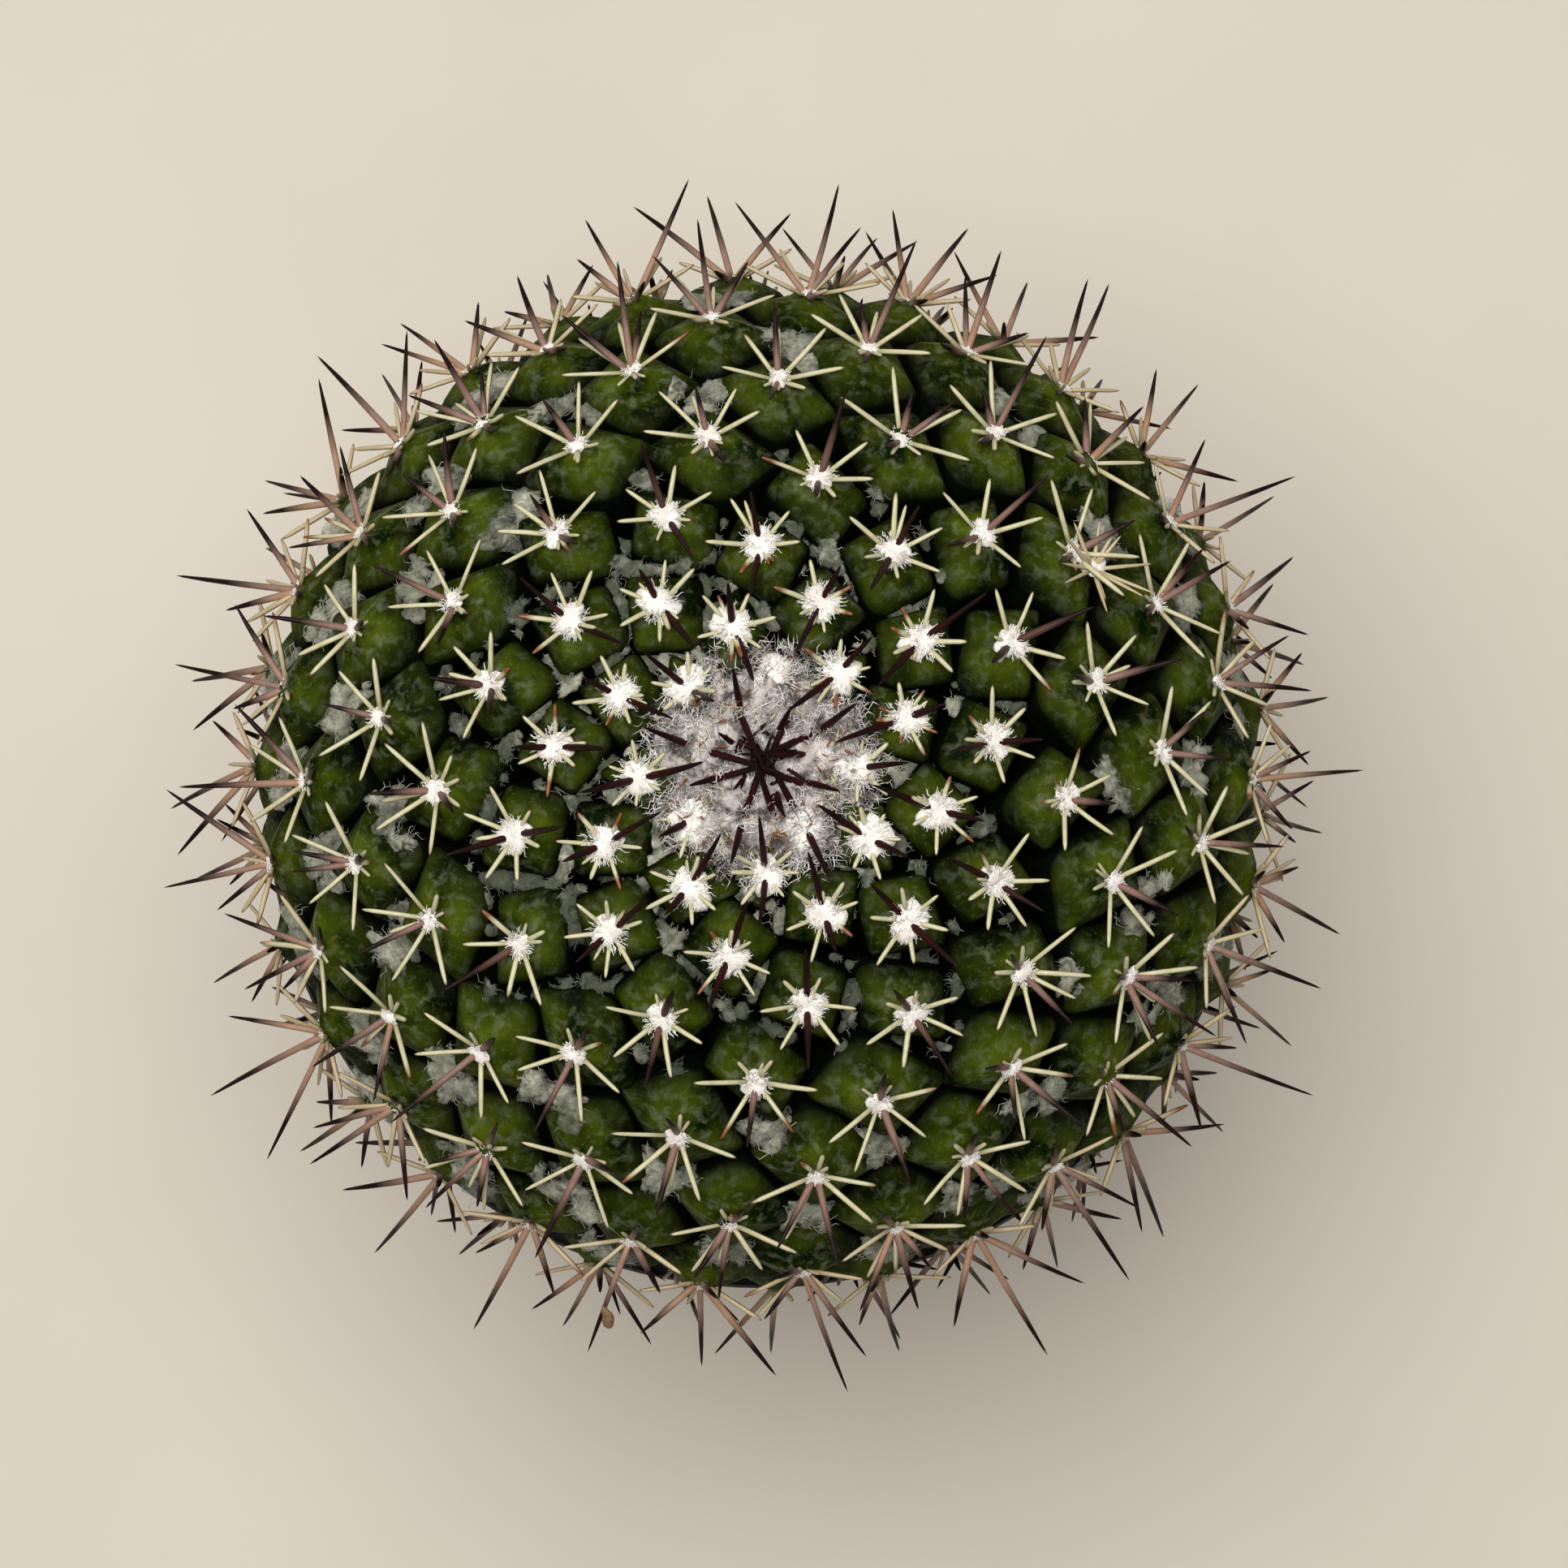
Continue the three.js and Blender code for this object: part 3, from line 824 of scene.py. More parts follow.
@dataclass(frozen=True)
class GrowthRule:
    """Golden-angle rule of the stem, the same as the solids follow."""

    # A tubercle's length nears its full value as the areole's number, counted from tubercle_start before
    # the first, passes tubercle_growth.
    radius: float = 50 * MM
    half_height: float = 40 * MM
    equator: float = 105 * MM
    crown_dip: float = 2.5 * MM
    crown_dip_radius: float = 8 * MM
    count: int = 172
    first_azimuth: float = math.radians(231)
    divergence: float = math.radians(137.56)
    polar_step: float = math.radians(0.727)
    polar_slowing: float = math.radians(0.0004)
    tubercle: float = 9.2 * MM
    tubercle_growth: float = 27
    tubercle_start: float = 4
    rise: float = 0.12
    corner_reach: float = 1.5
    steps: tuple[int, ...] = (3, 5, 8, 13, 21, 34, 55)

    def areole(self, index: int) -> Areole:
        """Works out one areole from its number.

        Args:
            index: Number of the areole.

        Returns:
            The areole.
        """
        polar = self.polar_step * index - self.polar_slowing * index * index
        azimuth = self.first_azimuth + self.divergence * index
        sine, cosine = math.sin(polar), math.cos(polar)
        radius = self.radius * sine
        dip = self.crown_dip * math.exp(-((radius / self.crown_dip_radius) ** 2))
        outward = np.array([math.cos(azimuth), math.sin(azimuth), 0.0])
        up = np.array([0.0, 0.0, 1.0])
        place = outward * radius + up * (self.equator + self.half_height * cosine - dip)
        normal = unit(outward * sine / self.radius + up * cosine / self.half_height)
        axis = unit(normal + up * self.rise * sine)
        turn = np.array([-math.sin(azimuth), math.cos(azimuth), 0.0])
        length = self.tubercle * (1 - math.exp(-(index + self.tubercle_start) / self.tubercle_growth))
        return Areole(index, place, axis, turn, unit(np.cross(turn, axis)), length)

    def areoles(self, first: int, last: int) -> Iterator[Areole]:
        """Areoles from one number to before another."""
        return (self.areole(index) for index in range(first, min(last, self.count)))

    def cell(self, here: Areole) -> tuple[Array, Array]:
        """Cell of an areole among its spiral neighbours.

        Args:
            here: The areole.

        Returns:
            Two neighbouring corners of its four, as ways from its middle; the others lie opposite. The
            second lies to the left of the first for one who looks at the areole from outside.
        """
        spans = []
        for step in self.steps:
            span = self.areole(here.index + step).place - here.place
            spans.append((float(np.linalg.norm(span)), span @ here.round, span @ here.down))
        spans.sort()
        other = next(span for span in spans if span[1] * spans[0][1] < 0)
        p, q = (np.array(span[1:]) / 2 for span in (spans[0], other))
        reach = self.corner_reach * (np.linalg.norm(p) + np.linalg.norm(q)) / 2
        corners = []
        for r in (q, -q):
            det = p[0] * r[1] - p[1] * r[0]
            corner = np.array([p @ p * r[1] - r @ r * p[1], r @ r * p[0] - p @ p * r[0]]) / det
            corner *= min(1.0, reach / float(np.linalg.norm(corner)))
            corners.append(here.round * corner[0] + here.down * corner[1])
        first, second = corners
        return first, second if np.cross(first, second) @ here.axis > 0 else -second


# Many copies of one shape


@dataclass
class Bundle:
    """Spines or hairs, gathered one by one and then made one piece."""

    # Curl rates are in radians over the whole length, in the two directions across it. Those two are
    # taken from +Z, or from +X for a needle steeper than the limit, which is the sine of its rise.
    template: Template
    rows: list[tuple[Any, ...]] = field(default_factory=list)
    curl_rates: Pair = (7.5, 5.5)
    steep: float = 0.9

    def add(
        self,
        root: Array,
        way: Array,
        length: float,
        width: float,
        bend: Array | float = 0.0,
        curl: float = 0.0,
        age: float = 0.0,
        tone: float = 0.0,
    ) -> None:
        """Adds one needle or hair.

        Args:
            root: Where it starts.
            way: Its first direction, of length 1.
            length: Its length.
            width: Radius of its root.
            bend: How far its tip lies off the straight line, as a vector.
            curl: Size of its curls, as a share of its length.
            age: Age from 0 to 1, for the material.
            tone: Its own tone, for the material.
        """
        self.rows.append((root, way, length, width, np.zeros(3) + bend, curl, age, tone))

    def piece(self, name: str) -> bpy.types.Object:
        """Makes the one piece that holds them all.

        Args:
            name: Name of the piece.

        Returns:
            The new piece.
        """
        columns = [np.array(column, dtype=float) for column in zip(*self.rows)]
        root, way, length, width, bend, curl, age, tone = columns
        helper = np.where(np.abs(way[:, 2:3]) < self.steep, [[0.0, 0.0, 1.0]], [[1.0, 0.0, 0.0]])
        first = unit(np.cross(way, helper))
        second = np.cross(way, first)
        across, up, along = self.template.points.T
        phase = np.random.default_rng(SEED).uniform(0, 2 * math.pi, (len(self.rows), 1))
        swing = (curl * length)[:, None]
        fast, slow = self.curl_rates
        one = swing * (np.sin(fast * along + phase) - np.sin(phase)) + width[:, None] * across
        two = swing * (np.cos(slow * along + phase) - np.cos(phase)) + width[:, None] * up
        copies = root[:, None, :] + way[:, None, :] * (length[:, None] * along)[..., None]
        copies += bend[:, None, :] * (along**2)[None, :, None]
        copies += first[:, None, :] * one[..., None] + second[:, None, :] * two[..., None]
        marks = {"along": along[None, :], "age": age[:, None], "tone": tone[:, None]}
        return gather(name, self.template, copies, **marks)


@dataclass
class Heap:
    """Lumps such as wool cushions or grains, each with its own three half axes."""

    template: Template
    rows: list[tuple[Array, Array, float]] = field(default_factory=list)

    def add(self, place: Array, axes: Array, tone: float = 0.0) -> None:
        """Adds a lump at a place, with its half axes as rows and its own tone."""
        self.rows.append((place, axes, tone))

    def piece(self, name: str, unevenness: float, scale: float) -> bpy.types.Object:
        """Makes one piece of them all, with a core mark of 1 at each lump's poles and 0 at its rim.

        Args:
            name: Name of the piece.
            unevenness: How far the surface moves in and out, as a share of a lump's size.
            scale: Size of the unevenness, in metres.

        Returns:
            The new piece.
        """
        place, axes, tone = (np.array(column, dtype=float) for column in zip(*self.rows))
        spans = np.einsum("vj,kji->kvi", self.template.points, axes)
        copies = place[:, None, :] + spans
        copies += spans * (unevenness * ripple(copies, scale, SEED))[..., None]
        core = np.abs(self.template.points[:, 2])[None, :]
        return gather(name, self.template, copies, tone=tone[:, None], core=core)


# The plant


@dataclass
class Stem:
    """Body of the cactus: four-sided tubercles on the growth rule, over a core with a root end."""

    # Roundings give a share of the faces beside a ridge, in percent, and the number of faces across it.
    # Depths and heights are in tubercle lengths under the tip. Ages are shares of the oldest areole's:
    # ridges start to turn pale at the first of ridge_ages, over a span of the second.
    rule: GrowthRule
    first: int = 10
    ridge_round: tuple[float, int] = (12, 3)
    upper_round: tuple[float, int] = (30, 4)
    lean: float = 0.08
    lean_heights: Numbers = (-0.9, -0.6, -0.25, -0.02)
    corner_spread: Pair = (0.92, 1.04)
    ridge_angle: float = 7
    ridge_ages: Pair = (0.25, 0.3)
    relief: float = 0.25 * MM
    relief_size: float = 3.2 * MM
    # Depth under the tip, in tubercle lengths, at which the painted furrow shade is full.
    painted_shade_depth: float = 0.8
    core_depth: float = 1.15
    core_step: int = 6
    core_steps: int = 64
    cork_top: float = 100 * MM
    cork_fade: float = 20 * MM
    # Height under the tip in tubercle lengths, and width in cell corners, of each ring from the root up.
    rings: Pairs = (
        (-1.4, 1.5),
        (-1.0, 1.0),
        (-0.7, 0.91),
        (-0.38, 0.87),
        (-0.27, 0.82),
        (-0.19, 0.71),
        (-0.12, 0.51),
        (-0.06, 0.32),
        (0.0, 0.13),
    )
    base: Pairs = (
        (31, 84.5), (25.5, 79), (19, 72), (11, 66), (4, 62.4), (0, 61.8)
    )

    def model_tubercle(self) -> Template:
        """Models the tubercle once, with its corners on the x and y axes and its tip at the origin.

        Returns:
            The tubercle's template.
        """
        height, width = self.rings[0]
        bpy.ops.mesh.primitive_circle_add(
            vertices=4, radius=width, fill_type="NGON", location=(0, 0, height)
        )
        model = bpy.context.object
        with edit_mode(model):
            extrude_rings(self.rings)
        self.round_ridges(model, *self.upper_round, lambda at: at.x < -NEAR and abs(at.y) < NEAR)
        self.round_ridges(model, *self.ridge_round, lambda at: at.x > NEAR and abs(at.y) < NEAR)
        self.round_ridges(model, *self.ridge_round, lambda at: abs(at.x) < NEAR)
        with edit_mode(model):
            face_outward()
        bpy.ops.object.transform_apply(location=True, rotation=True, scale=True)
        return Template.taken_from(model)

    def round_ridges(
        self, model: bpy.types.Object, share: float, segments: int, wanted: Callable[[Vector], bool]
    ) -> None:
        """Rounds the ridges of the tubercle whose points pass a test.

        Args:
            model: The tubercle being modelled.
            share: Share of the faces beside a ridge that the rounding takes, in percent.
            segments: Faces across the rounding.
            wanted: Test of a point's place.
        """
        with edit_mode(model):
            bpy.ops.mesh.select_mode(type="EDGE")
            bpy.ops.mesh.select_all(action="DESELECT")
        for edge in model.data.edges:
            low, high = (model.data.vertices[v].co for v in edge.vertices)
            edge.select = abs(low.z - high.z) > NEAR and wanted(low) and wanted(high)
        with edit_mode(model):
            bpy.ops.mesh.bevel(
                offset_type="PERCENT", offset_pct=share, segments=segments, affect="EDGES"
            )
            bpy.ops.mesh.select_mode(type="VERT")

    def build(self) -> list[bpy.types.Object]:
        """Builds the tubercles and the core under them.

        Returns:
            The dressed pieces.
        """
        template = self.model_tubercle()
        heights = template.points[:, 2]
        template.points[:, 0] -= self.lean * np.interp(heights, self.lean_heights, (0, 1, 1, 0))
        x, y, z = template.points.T
        turn = np.degrees(np.arctan2(y, x))
        off_ridge = np.minimum(np.abs(np.abs(turn) - 90), np.abs(turn))
        ridge = np.clip(1 - off_ridge / self.ridge_angle, 0, 1)
        draw = np.random.default_rng(SEED)
        copies, ages = [], []
        for here in self.rule.areoles(self.first, self.rule.count):
            first, second = self.rule.cell(here)
            down, up, left, right = draw.uniform(*self.corner_spread, size=4)
            points = here.place + np.outer(x * np.where(x > 0, down, up), first)
            points += np.outer(y * np.where(y > 0, left, right), second)
            points += np.outer(z * here.length, here.axis)
            points += here.axis * (self.relief * ripple(points, self.relief_size, SEED + 1))[:, None]
            copies.append(points)
            ages.append(here.index / self.rule.count)
        age = np.array(ages)[:, None]
        start, span = self.ridge_ages
        marks = {
            # Painted shade: depth darkens the skin towards the furrows.
            "depth": np.clip(-z / self.painted_shade_depth, 0, 1)[None, :],
            "ridge": ridge * np.clip((age - start) / span, 0, 1),
            "age": age,
        }
        skin = gather("stem_tubercles", template, np.array(copies), **marks)
        return [dress(skin, Finishes.SKIN, "cactus_flesh", "cactus"), self.build_core()]

    def build_core(self) -> bpy.types.Object:
        """Spins the core that closes the furrows, with the stem's base down to the root end, painted near
        black as furrow shade.

        Returns:
            The dressed core.
        """
        profile = []
        for index in range(0, self.rule.count, self.core_step):
            here = self.rule.areole(index)
            inner = (here.place - here.axis * self.core_depth * here.length) / MM
            profile.append((float(np.hypot(inner[0], inner[1])), float(inner[2])))
        profile[0] = (0.0, profile[0][1])
        core = revolve("stem_core", [*profile, *self.base], self.core_steps)
        places = points_of(core)
        cork = np.clip((self.cork_top - places[:, 2]) / self.cork_fade, 0, 1)
        # Painted shade: a depth of 1 all over gives the core the near-black furrow colour; the cork mark
        # lies over it near the foot.
        mark_points(core.data, depth=np.ones(len(places)), age=cork)
        settle(core, places)
        return dress(core, Finishes.SKIN, "cactus_flesh", "cactus")


@dataclass
class AreoleWool:
    """White wool of the areoles: full cushions near the crown that wear down to small tufts."""

    # Places, sizes and lengths are shares of the wool's radius, which radii gives in millimetres at the
    # areole numbers in ages. Turns and lifts are in degrees.
    rule: GrowthRule
    first: int = 10
    ages: Numbers = (0, 12, 35, 60, 90, 172)
    radii: Numbers = (1.9, 2.3, 2.0, 1.3, 0.95, 0.8)
    full_radius: float = 1.0 * MM
    full_cushions: int = 6
    worn_cushions: int = 4
    cushion_turn: float = 137
    cushion_places: Pair = (0.1, 0.5)
    cushion_sizes: Pair = (0.42, 0.62)
    flatness: float = 0.4
    unevenness: float = 0.28
    lump_size: float = 0.9 * MM
    hair_width: float = 0.05 * MM
    young_hairs: int = 160
    old_hairs: int = 28
    hair_radii: Pair = (0.75, 2.2)
    hair_places: Pair = (0.2, 0.8)
    hair_lengths: Pair = (0.12, 0.45)
    hair_lift: float = 60
    hair_curl: float = 0.12

    def radius(self, index: int) -> float:
        """Radius of the wool on an areole."""
        return float(np.interp(index, self.ages, self.radii)) * MM

    def build(self) -> list[bpy.types.Object]:
        """Builds the cushions, and the hairs that stand out of them.

        Returns:
            The dressed pieces.
        """
        draw = np.random.default_rng(SEED + 2)
        cushions = Heap(model_lump(2))
        hairs = Bundle(model_needle(3, (0.4, 0.9), (0.75, 0.7)))
        for here in self.rule.areoles(self.first, self.rule.count):
            radius = self.radius(here.index)
            for k in range(self.full_cushions if radius > self.full_radius else self.worn_cushions):
                way = here.direction(k * self.cushion_turn + draw.uniform(0, 60), 0)
                off = way * radius * draw.uniform(*self.cushion_places)
                size = radius * draw.uniform(*self.cushion_sizes)
                axes = np.array([here.round, -here.down, here.axis * self.flatness]) * size
                cushions.add(here.place + off, axes, draw.uniform(-0.1, 0.25))
            share = float(np.interp(radius / MM, self.hair_radii, (0, 1)))
            for _ in range(round(self.old_hairs + share * (self.young_hairs - self.old_hairs))):
                self.add_hair(hairs, here, radius, draw)
        wool = cushions.piece("areole_cushions", self.unevenness, self.lump_size)
        return [
            dress(wool, Finishes.WOOL, "cactus_flesh"),
            dress(hairs.piece("areole_hairs"), Finishes.WOOL, "cactus_flesh"),
        ]

    def add_hair(
        self, hairs: Bundle, here: Areole, radius: float, draw: np.random.Generator
    ) -> None:
        """Adds one loose hair, which stands out of the cushions and droops a little.

        Args:
            hairs: Hairs gathered so far.
            here: The areole.
            radius: Radius of its wool.
            draw: Random numbers.
        """
        bearing, lift = draw.uniform(0, 360), draw.uniform(0, self.hair_lift)
        root = here.place + here.direction(bearing, 0) * radius * draw.uniform(*self.hair_places)
        hairs.add(
            root + here.axis * radius * 0.15,
            here.direction(bearing, lift),
            radius * draw.uniform(*self.hair_lengths),
            self.hair_width * draw.uniform(0.6, 1.3),
            bend=here.direction(bearing, -40) * radius * draw.uniform(0, 0.15),
            curl=self.hair_curl,
            tone=draw.uniform(0, 0.4),
        )


@dataclass
class CrownFelt:
    """Grey felt over the growing point, with its matted hairs."""

    rule: GrowthRule
    outline: Pairs = (
        (0, 139.5), (5, 139.9), (7.2, 141.0), (8.8, 142.0), (9.5, 142.5), (9.1, 143.1),
        (8.0, 143.45), (6.8, 143.7), (5.6, 143.9), (4.4, 144.0), (3.2, 144.05), (2.0, 144.0), (0, 143.8),
    )
    # Each lump has its height and its size, and the waviness its share of the radius and its size.
    steps: int = 64
    top: float = 142.2
    lumps: Pairs = ((0.45, 2.2), (0.3, 0.9))
    waviness: Pair = (0.07, 3)
    reach: float = 10.5
    hair_circles: Numbers = (0, 6, 8, 10.5)
    hair_heights: Numbers = (143.9, 143.8, 143.4, 142.6)
    hairs: int = 3400
    hair_lengths: Pair = (1.1, 2.6)
    hair_width: float = 0.055 * MM
    hair_curl: float = 0.16

    def build(self) -> list[bpy.types.Object]:
        """Builds the felt, spun and then made uneven, and the hairs that lie on it.

        Returns:
            The dressed pieces.
        """
        felt = revolve("crown_felt", self.outline, self.steps)
        finish_modifier(felt, "SUBSURF", levels=1, render_levels=1)
        places = points_of(felt)
        upper = np.clip((places[:, 2] - self.top * MM) / MM, 0, 1)
        (high, wide), (low, narrow) = self.lumps
        lumps = high * ripple(places, wide * MM, SEED + 3) + low * ripple(places, narrow * MM, SEED + 4)
        places[:, 2] += upper * lumps * MM
        share, size = self.waviness
        places[:, :2] *= 1 + share * ripple(places, size * MM, SEED + 5)[:, None]
        settle(felt, places)
        return [
            dress(felt, Finishes.FELT, "crown_felt", "crown_wool"),
            dress(self.build_hairs(), Finishes.FELT, "crown_felt", "crown_wool"),
        ]

    def build_hairs(self) -> bpy.types.Object:
        """Builds the felt's hairs, which lie in many directions but mostly outward.

        Returns:
            The hairs as one object.
        """
        draw = np.random.default_rng(SEED + 6)
        hairs = Bundle(model_needle(3, (0.3, 1.0), (0.65, 0.9)))
        for _ in range(self.hairs):
            turn, radius = draw.uniform(0, 2 * math.pi), self.reach * MM * math.sqrt(draw.uniform(0, 1))
            heading = turn + draw.uniform(-1.9, 1.9)
            height = float(np.interp(radius / MM, self.hair_circles, self.hair_heights)) * MM
            hairs.add(
                around(turn, radius, height),
                unit(around(heading, 1, draw.uniform(-0.1, 0.55))),
                draw.uniform(*self.hair_lengths) * MM,
                self.hair_width * draw.uniform(0.7, 1.2),
                bend=np.array([0, 0, -draw.uniform(0, 0.6) * MM]),
                curl=self.hair_curl,
                tone=draw.uniform(-0.2, 0.5),
            )
        return hairs.piece("crown_felt_hairs")


@dataclass
class AxilWool:
    """Grey wool in the axils: cobwebs round the young tubercles, weathered tufts under the older ones."""

    # Sizes are half lengths of a web; depths are in tubercle lengths under the areole. The wool is
    # thickest at one azimuth, in degrees.
    rule: GrowthRule
    first: int = 12
    last: int = 104
    matted: int = 27
    grown: int = 48
    thick_azimuth: float = 195
    young_webs: int = 15
    young_sizes: Pair = (0.6 * MM, 1.8 * MM)
    young_depths: Pair = (0.28, 0.48)
    tuft_webs: int = 4
    thick_webs: int = 5
    tuft_sizes: Pair = (1.1 * MM, 2.6 * MM)
    tuft_depths: Pair = (0.28, 0.42)
    tuft_share: float = 0.95
    flatness: float = 0.14
    fringe: int = 9
    hair_width: float = 0.04 * MM
    hair_curl: float = 0.12

    def build(self) -> list[bpy.types.Object]:
        """Builds the matted webs and the hairs that fray out of them.

        Returns:
            The dressed pieces.
        """
        draw = np.random.default_rng(SEED + 7)
        hairs = Bundle(model_needle(3, (0.3, 1.0), (0.65, 0.8)))
        webs = Heap(model_lump(2))
        for here in self.rule.areoles(self.first, self.last):
            down, side = self.rule.cell(here)
            azimuth = math.atan2(here.place[1], here.place[0])
            thick = 0.55 + 0.45 * math.cos(azimuth - math.radians(self.thick_azimuth))
            young = here.index < self.grown
            if not young and draw.uniform() > self.tuft_share * (0.6 + 0.4 * thick):
                continue
            matted = here.index < self.matted
            share = 0.3 + 0.5 * thick if matted else 0.05 + 1.2 * thick
            tufts = self.tuft_webs + round(self.thick_webs * thick)
            for _ in range(round(self.young_webs * share) if young else tufts):
                if young:
                    part, turn = draw.uniform(0, 1), draw.choice([-1, 1])
                    spot = (down * part + side * turn * (1 - part)) * draw.choice([-1, 1])
                    furrow = unit(down - side * turn)
                    size, deep = draw.uniform(*self.young_sizes), draw.uniform(*self.young_depths)
                    tone = draw.uniform(-0.5, 0.0) + 0.3 * matted
                else:
                    spot = down * draw.uniform(0.7, 1.06) + side * draw.uniform(-0.4, 0.4)
                    furrow = unit(here.direction(draw.uniform(0, 360), 0))
                    size, deep = draw.uniform(*self.tuft_sizes), draw.uniform(*self.tuft_depths)
                    tone = draw.uniform(-0.1, 0.35)
                middle = here.place + spot - here.axis * here.length * deep
                self.add_web(webs, hairs, here, middle, furrow, size, tone, draw)
        return [
            dress(webs.piece("axil_webs", 0.45, 0.8 * MM), Finishes.AXIL, "cactus_flesh"),
            dress(hairs.piece("axil_hairs"), Finishes.FRAYED, "cactus_flesh"),
        ]

    def add_web(
        self,
        webs: Heap,
        hairs: Bundle,
        here: Areole,
        middle: Array,
        furrow: Array,
        size: float,
        tone: float,
        draw: np.random.Generator,
    ) -> None:
        """Adds one matted web with its frayed edge.

        Args:
            webs: Webs gathered so far.
            hairs: Hairs gathered so far.
            here: The areole beside it.
            middle: Its middle.
            furrow: Direction of the furrow, which it lies along.
            size: Its half length.
            tone: Its tone.
            draw: Random numbers.
        """
        wide = unit(np.cross(here.axis, furrow)) * draw.uniform(0.4, 0.75)
        axes = np.array([furrow * 0.85, wide, here.axis * self.flatness]) * size
        webs.add(middle, axes, tone)
        for _ in range(self.fringe):
            bearing = draw.uniform(0, 360)
            root = middle + here.direction(bearing, 0) * size * draw.uniform(0, 0.6)
            hairs.add(
                root,
                here.direction(bearing + draw.uniform(-90, 90), draw.uniform(-25, 15)),
                size * draw.uniform(0.4, 1.0),
                self.hair_width * draw.uniform(0.6, 1.2),
                curl=self.hair_curl,
                tone=tone + draw.uniform(0, 0.3),
            )


@dataclass(frozen=True)
class SpinePlan:
    """A spine before it is fitted: bearing and lift in degrees, length and distance of its root in mm."""

    central: bool
    bearing: float
    lift: float
    length: float
    spread: float


@dataclass
class Spines:
    """All the spines: radials round each areole and centrals that point down the stem."""

    # Lengths, distances and heights are in millimetres, bearings and lifts in degrees. The jitters of
    # radials and inner spines are of length, bearing and lift. Central lengths, lifts and jitters go from
    # the first value to the second as the areole ages. Late spines are inner ones of older areoles. Side
    # spines have a least length and what age adds to it.
    rule: GrowthRule
    pot: NurseryPot
    radial_bearings: Numbers = (-90, -38, 38, 90)
    underside_bearings: Numbers = (-75, 75)
    radial_length: float = 6.4
    radial_lift: float = 18
    radial_jitters: Numbers = (0.7, 9, 5)
    radial_spread: float = 0.9
    radial_width: float = 0.26 * MM
    thin_length: float = 3.2
    thin_share: float = 0.75
    foxed_areoles: Pair = (22, 42)
    foxing: Pair = (0.12, 0)
    upper_bearings: Numbers = (-148, 180, 148)
    upper_length: float = 3.4
    upper_lifts: Pair = (12, 28)
    upper_spread: float = 0.7
    finer_turn: float = 9
    lower_share: float = 0.45
    lower_length: float = 5.6
    lower_lift: float = 14
    lower_spread: float = 1.2
    central_lengths: Pair = (5.6, 15)
    central_lengthening: float = 3
    central_jitters: Pair = (1.2, 3.6)
    central_bearing_jitter: float = 14
    central_lift_jitter: float = 6
    central_lifts: Pair = (52, 26)
    central_spread: float = 0.45
    central_width: float = 0.35 * MM
    inner_length: float = 7.4
    inner_lift: float = 26
    inner_jitters: Numbers = (1, 10, 6)
    inner_last: int = 42
    inward: float = 120
    inward_agings: Pair = (0.5, 0.95)
    late_share: float = 0.85
    late_turn: float = 14
    late_tilt: float = 5
    late_lengths: Pair = (5.2, 7.4)
    late_areoles: Numbers = (42, 65, 90)
    late_lifts: Numbers = (42, 30, 20)
    side_areoles: Pair = (55, 95)
    side_share: float = 0.8
    side_lengths: Pair = (3, 8.5)
    side_bearings: Pair = (26, 62)
    side_lifts: Pair = (22, 40)
    side_spread: float = 0.5
    old_areole: float = 110
    grown_areole: float = 60
    young_share: float = 0.34
    root_depth: float = 1.2
    foot_spread: float = 0.35
    foot_depth: float = 0.25
    first: int = 13
    underside: int = 120
    hidden: int = 138
    clearance: float = 0.8
    bend_steps: int = 14
    bend_step: float = 0.12
    test_points: int = 11
    felt_radius: float = 7.2
    felt_top: float = 144
    felt_areoles: int = 12
    meeting_height: float = 2.2
    overshoot: float = 1.25
    felt_circles: Pair = (5.4, 6.7)
    felt_depth: float = 1.2
    soil_top: float = 79.9
    buds: int = 22
    bud_circles: Pair = (0.8, 3.4)
    bud_lengths: Pair = (1.8, 3.6)
    bud_thinness: float = 0.6
    bud_depth: float = 0.5
    bristles: int = 150
    bristle_circles: Pair = (4.5, 9.6)
    bristle_radii: Numbers = (6, 8, 9.4)
    bristle_heights: Numbers = (143.7, 143.3, 142.6)
    bristle_lengths: Pair = (1.0, 2.9)
    bristle_width: float = 0.15 * MM
    mains: dict[int, tuple[Array, Array, float]] = field(default_factory=dict)

    def is_clear(self, points: Array) -> bool:
        """Whether all of some points are clear of the pot, the soil and the felt.

        Args:
            points: Places along a spine, in metres.

        Returns:
            True where none of them is too near.
        """
        x, y, z = points.T / MM
        radius = np.hypot(x, y)
        rim, gap = self.pot.rim_radius, self.clearance
        wall = self.pot.wall_radius(z) - self.pot.wall
        at_rim = (radius > wall - gap) & (radius < rim + gap) & (z < self.pot.height + gap)
        at_soil = (radius < rim) & (z < self.soil_top + gap)
        at_felt = (radius < self.felt_radius + gap) & (z < self.felt_top + gap)
        return not bool(np.any(at_rim | at_soil | at_felt))

    def place(self, here: Areole, plan: SpinePlan) -> tuple[Array, Array, float] | None:
        """Finds room for a spine, bending it up until it is clear of what lies round the stem.

        Args:
            here: Its areole.
            plan: The spine as it would stand with room all round it.

        Returns:
            Root, direction and whole length, or None where it has no room.
        """
        outward = here.direction(plan.bearing, 0)
        root = here.place + (outward * plan.spread - here.axis * self.root_depth) * MM
        way = here.direction(plan.bearing, plan.lift)
        for _ in range(self.bend_steps):
            tip = here.place + way * plan.length * MM
            if self.is_clear(np.linspace(root, tip, self.test_points)):
                off = outward * self.foot_spread - here.axis * self.foot_depth
                foot = here.place + off * MM
                whole = float(np.linalg.norm(tip - foot))
                return foot, (tip - foot) / whole, whole
            way = unit(way + np.array([0, 0, self.bend_step]))
        return None

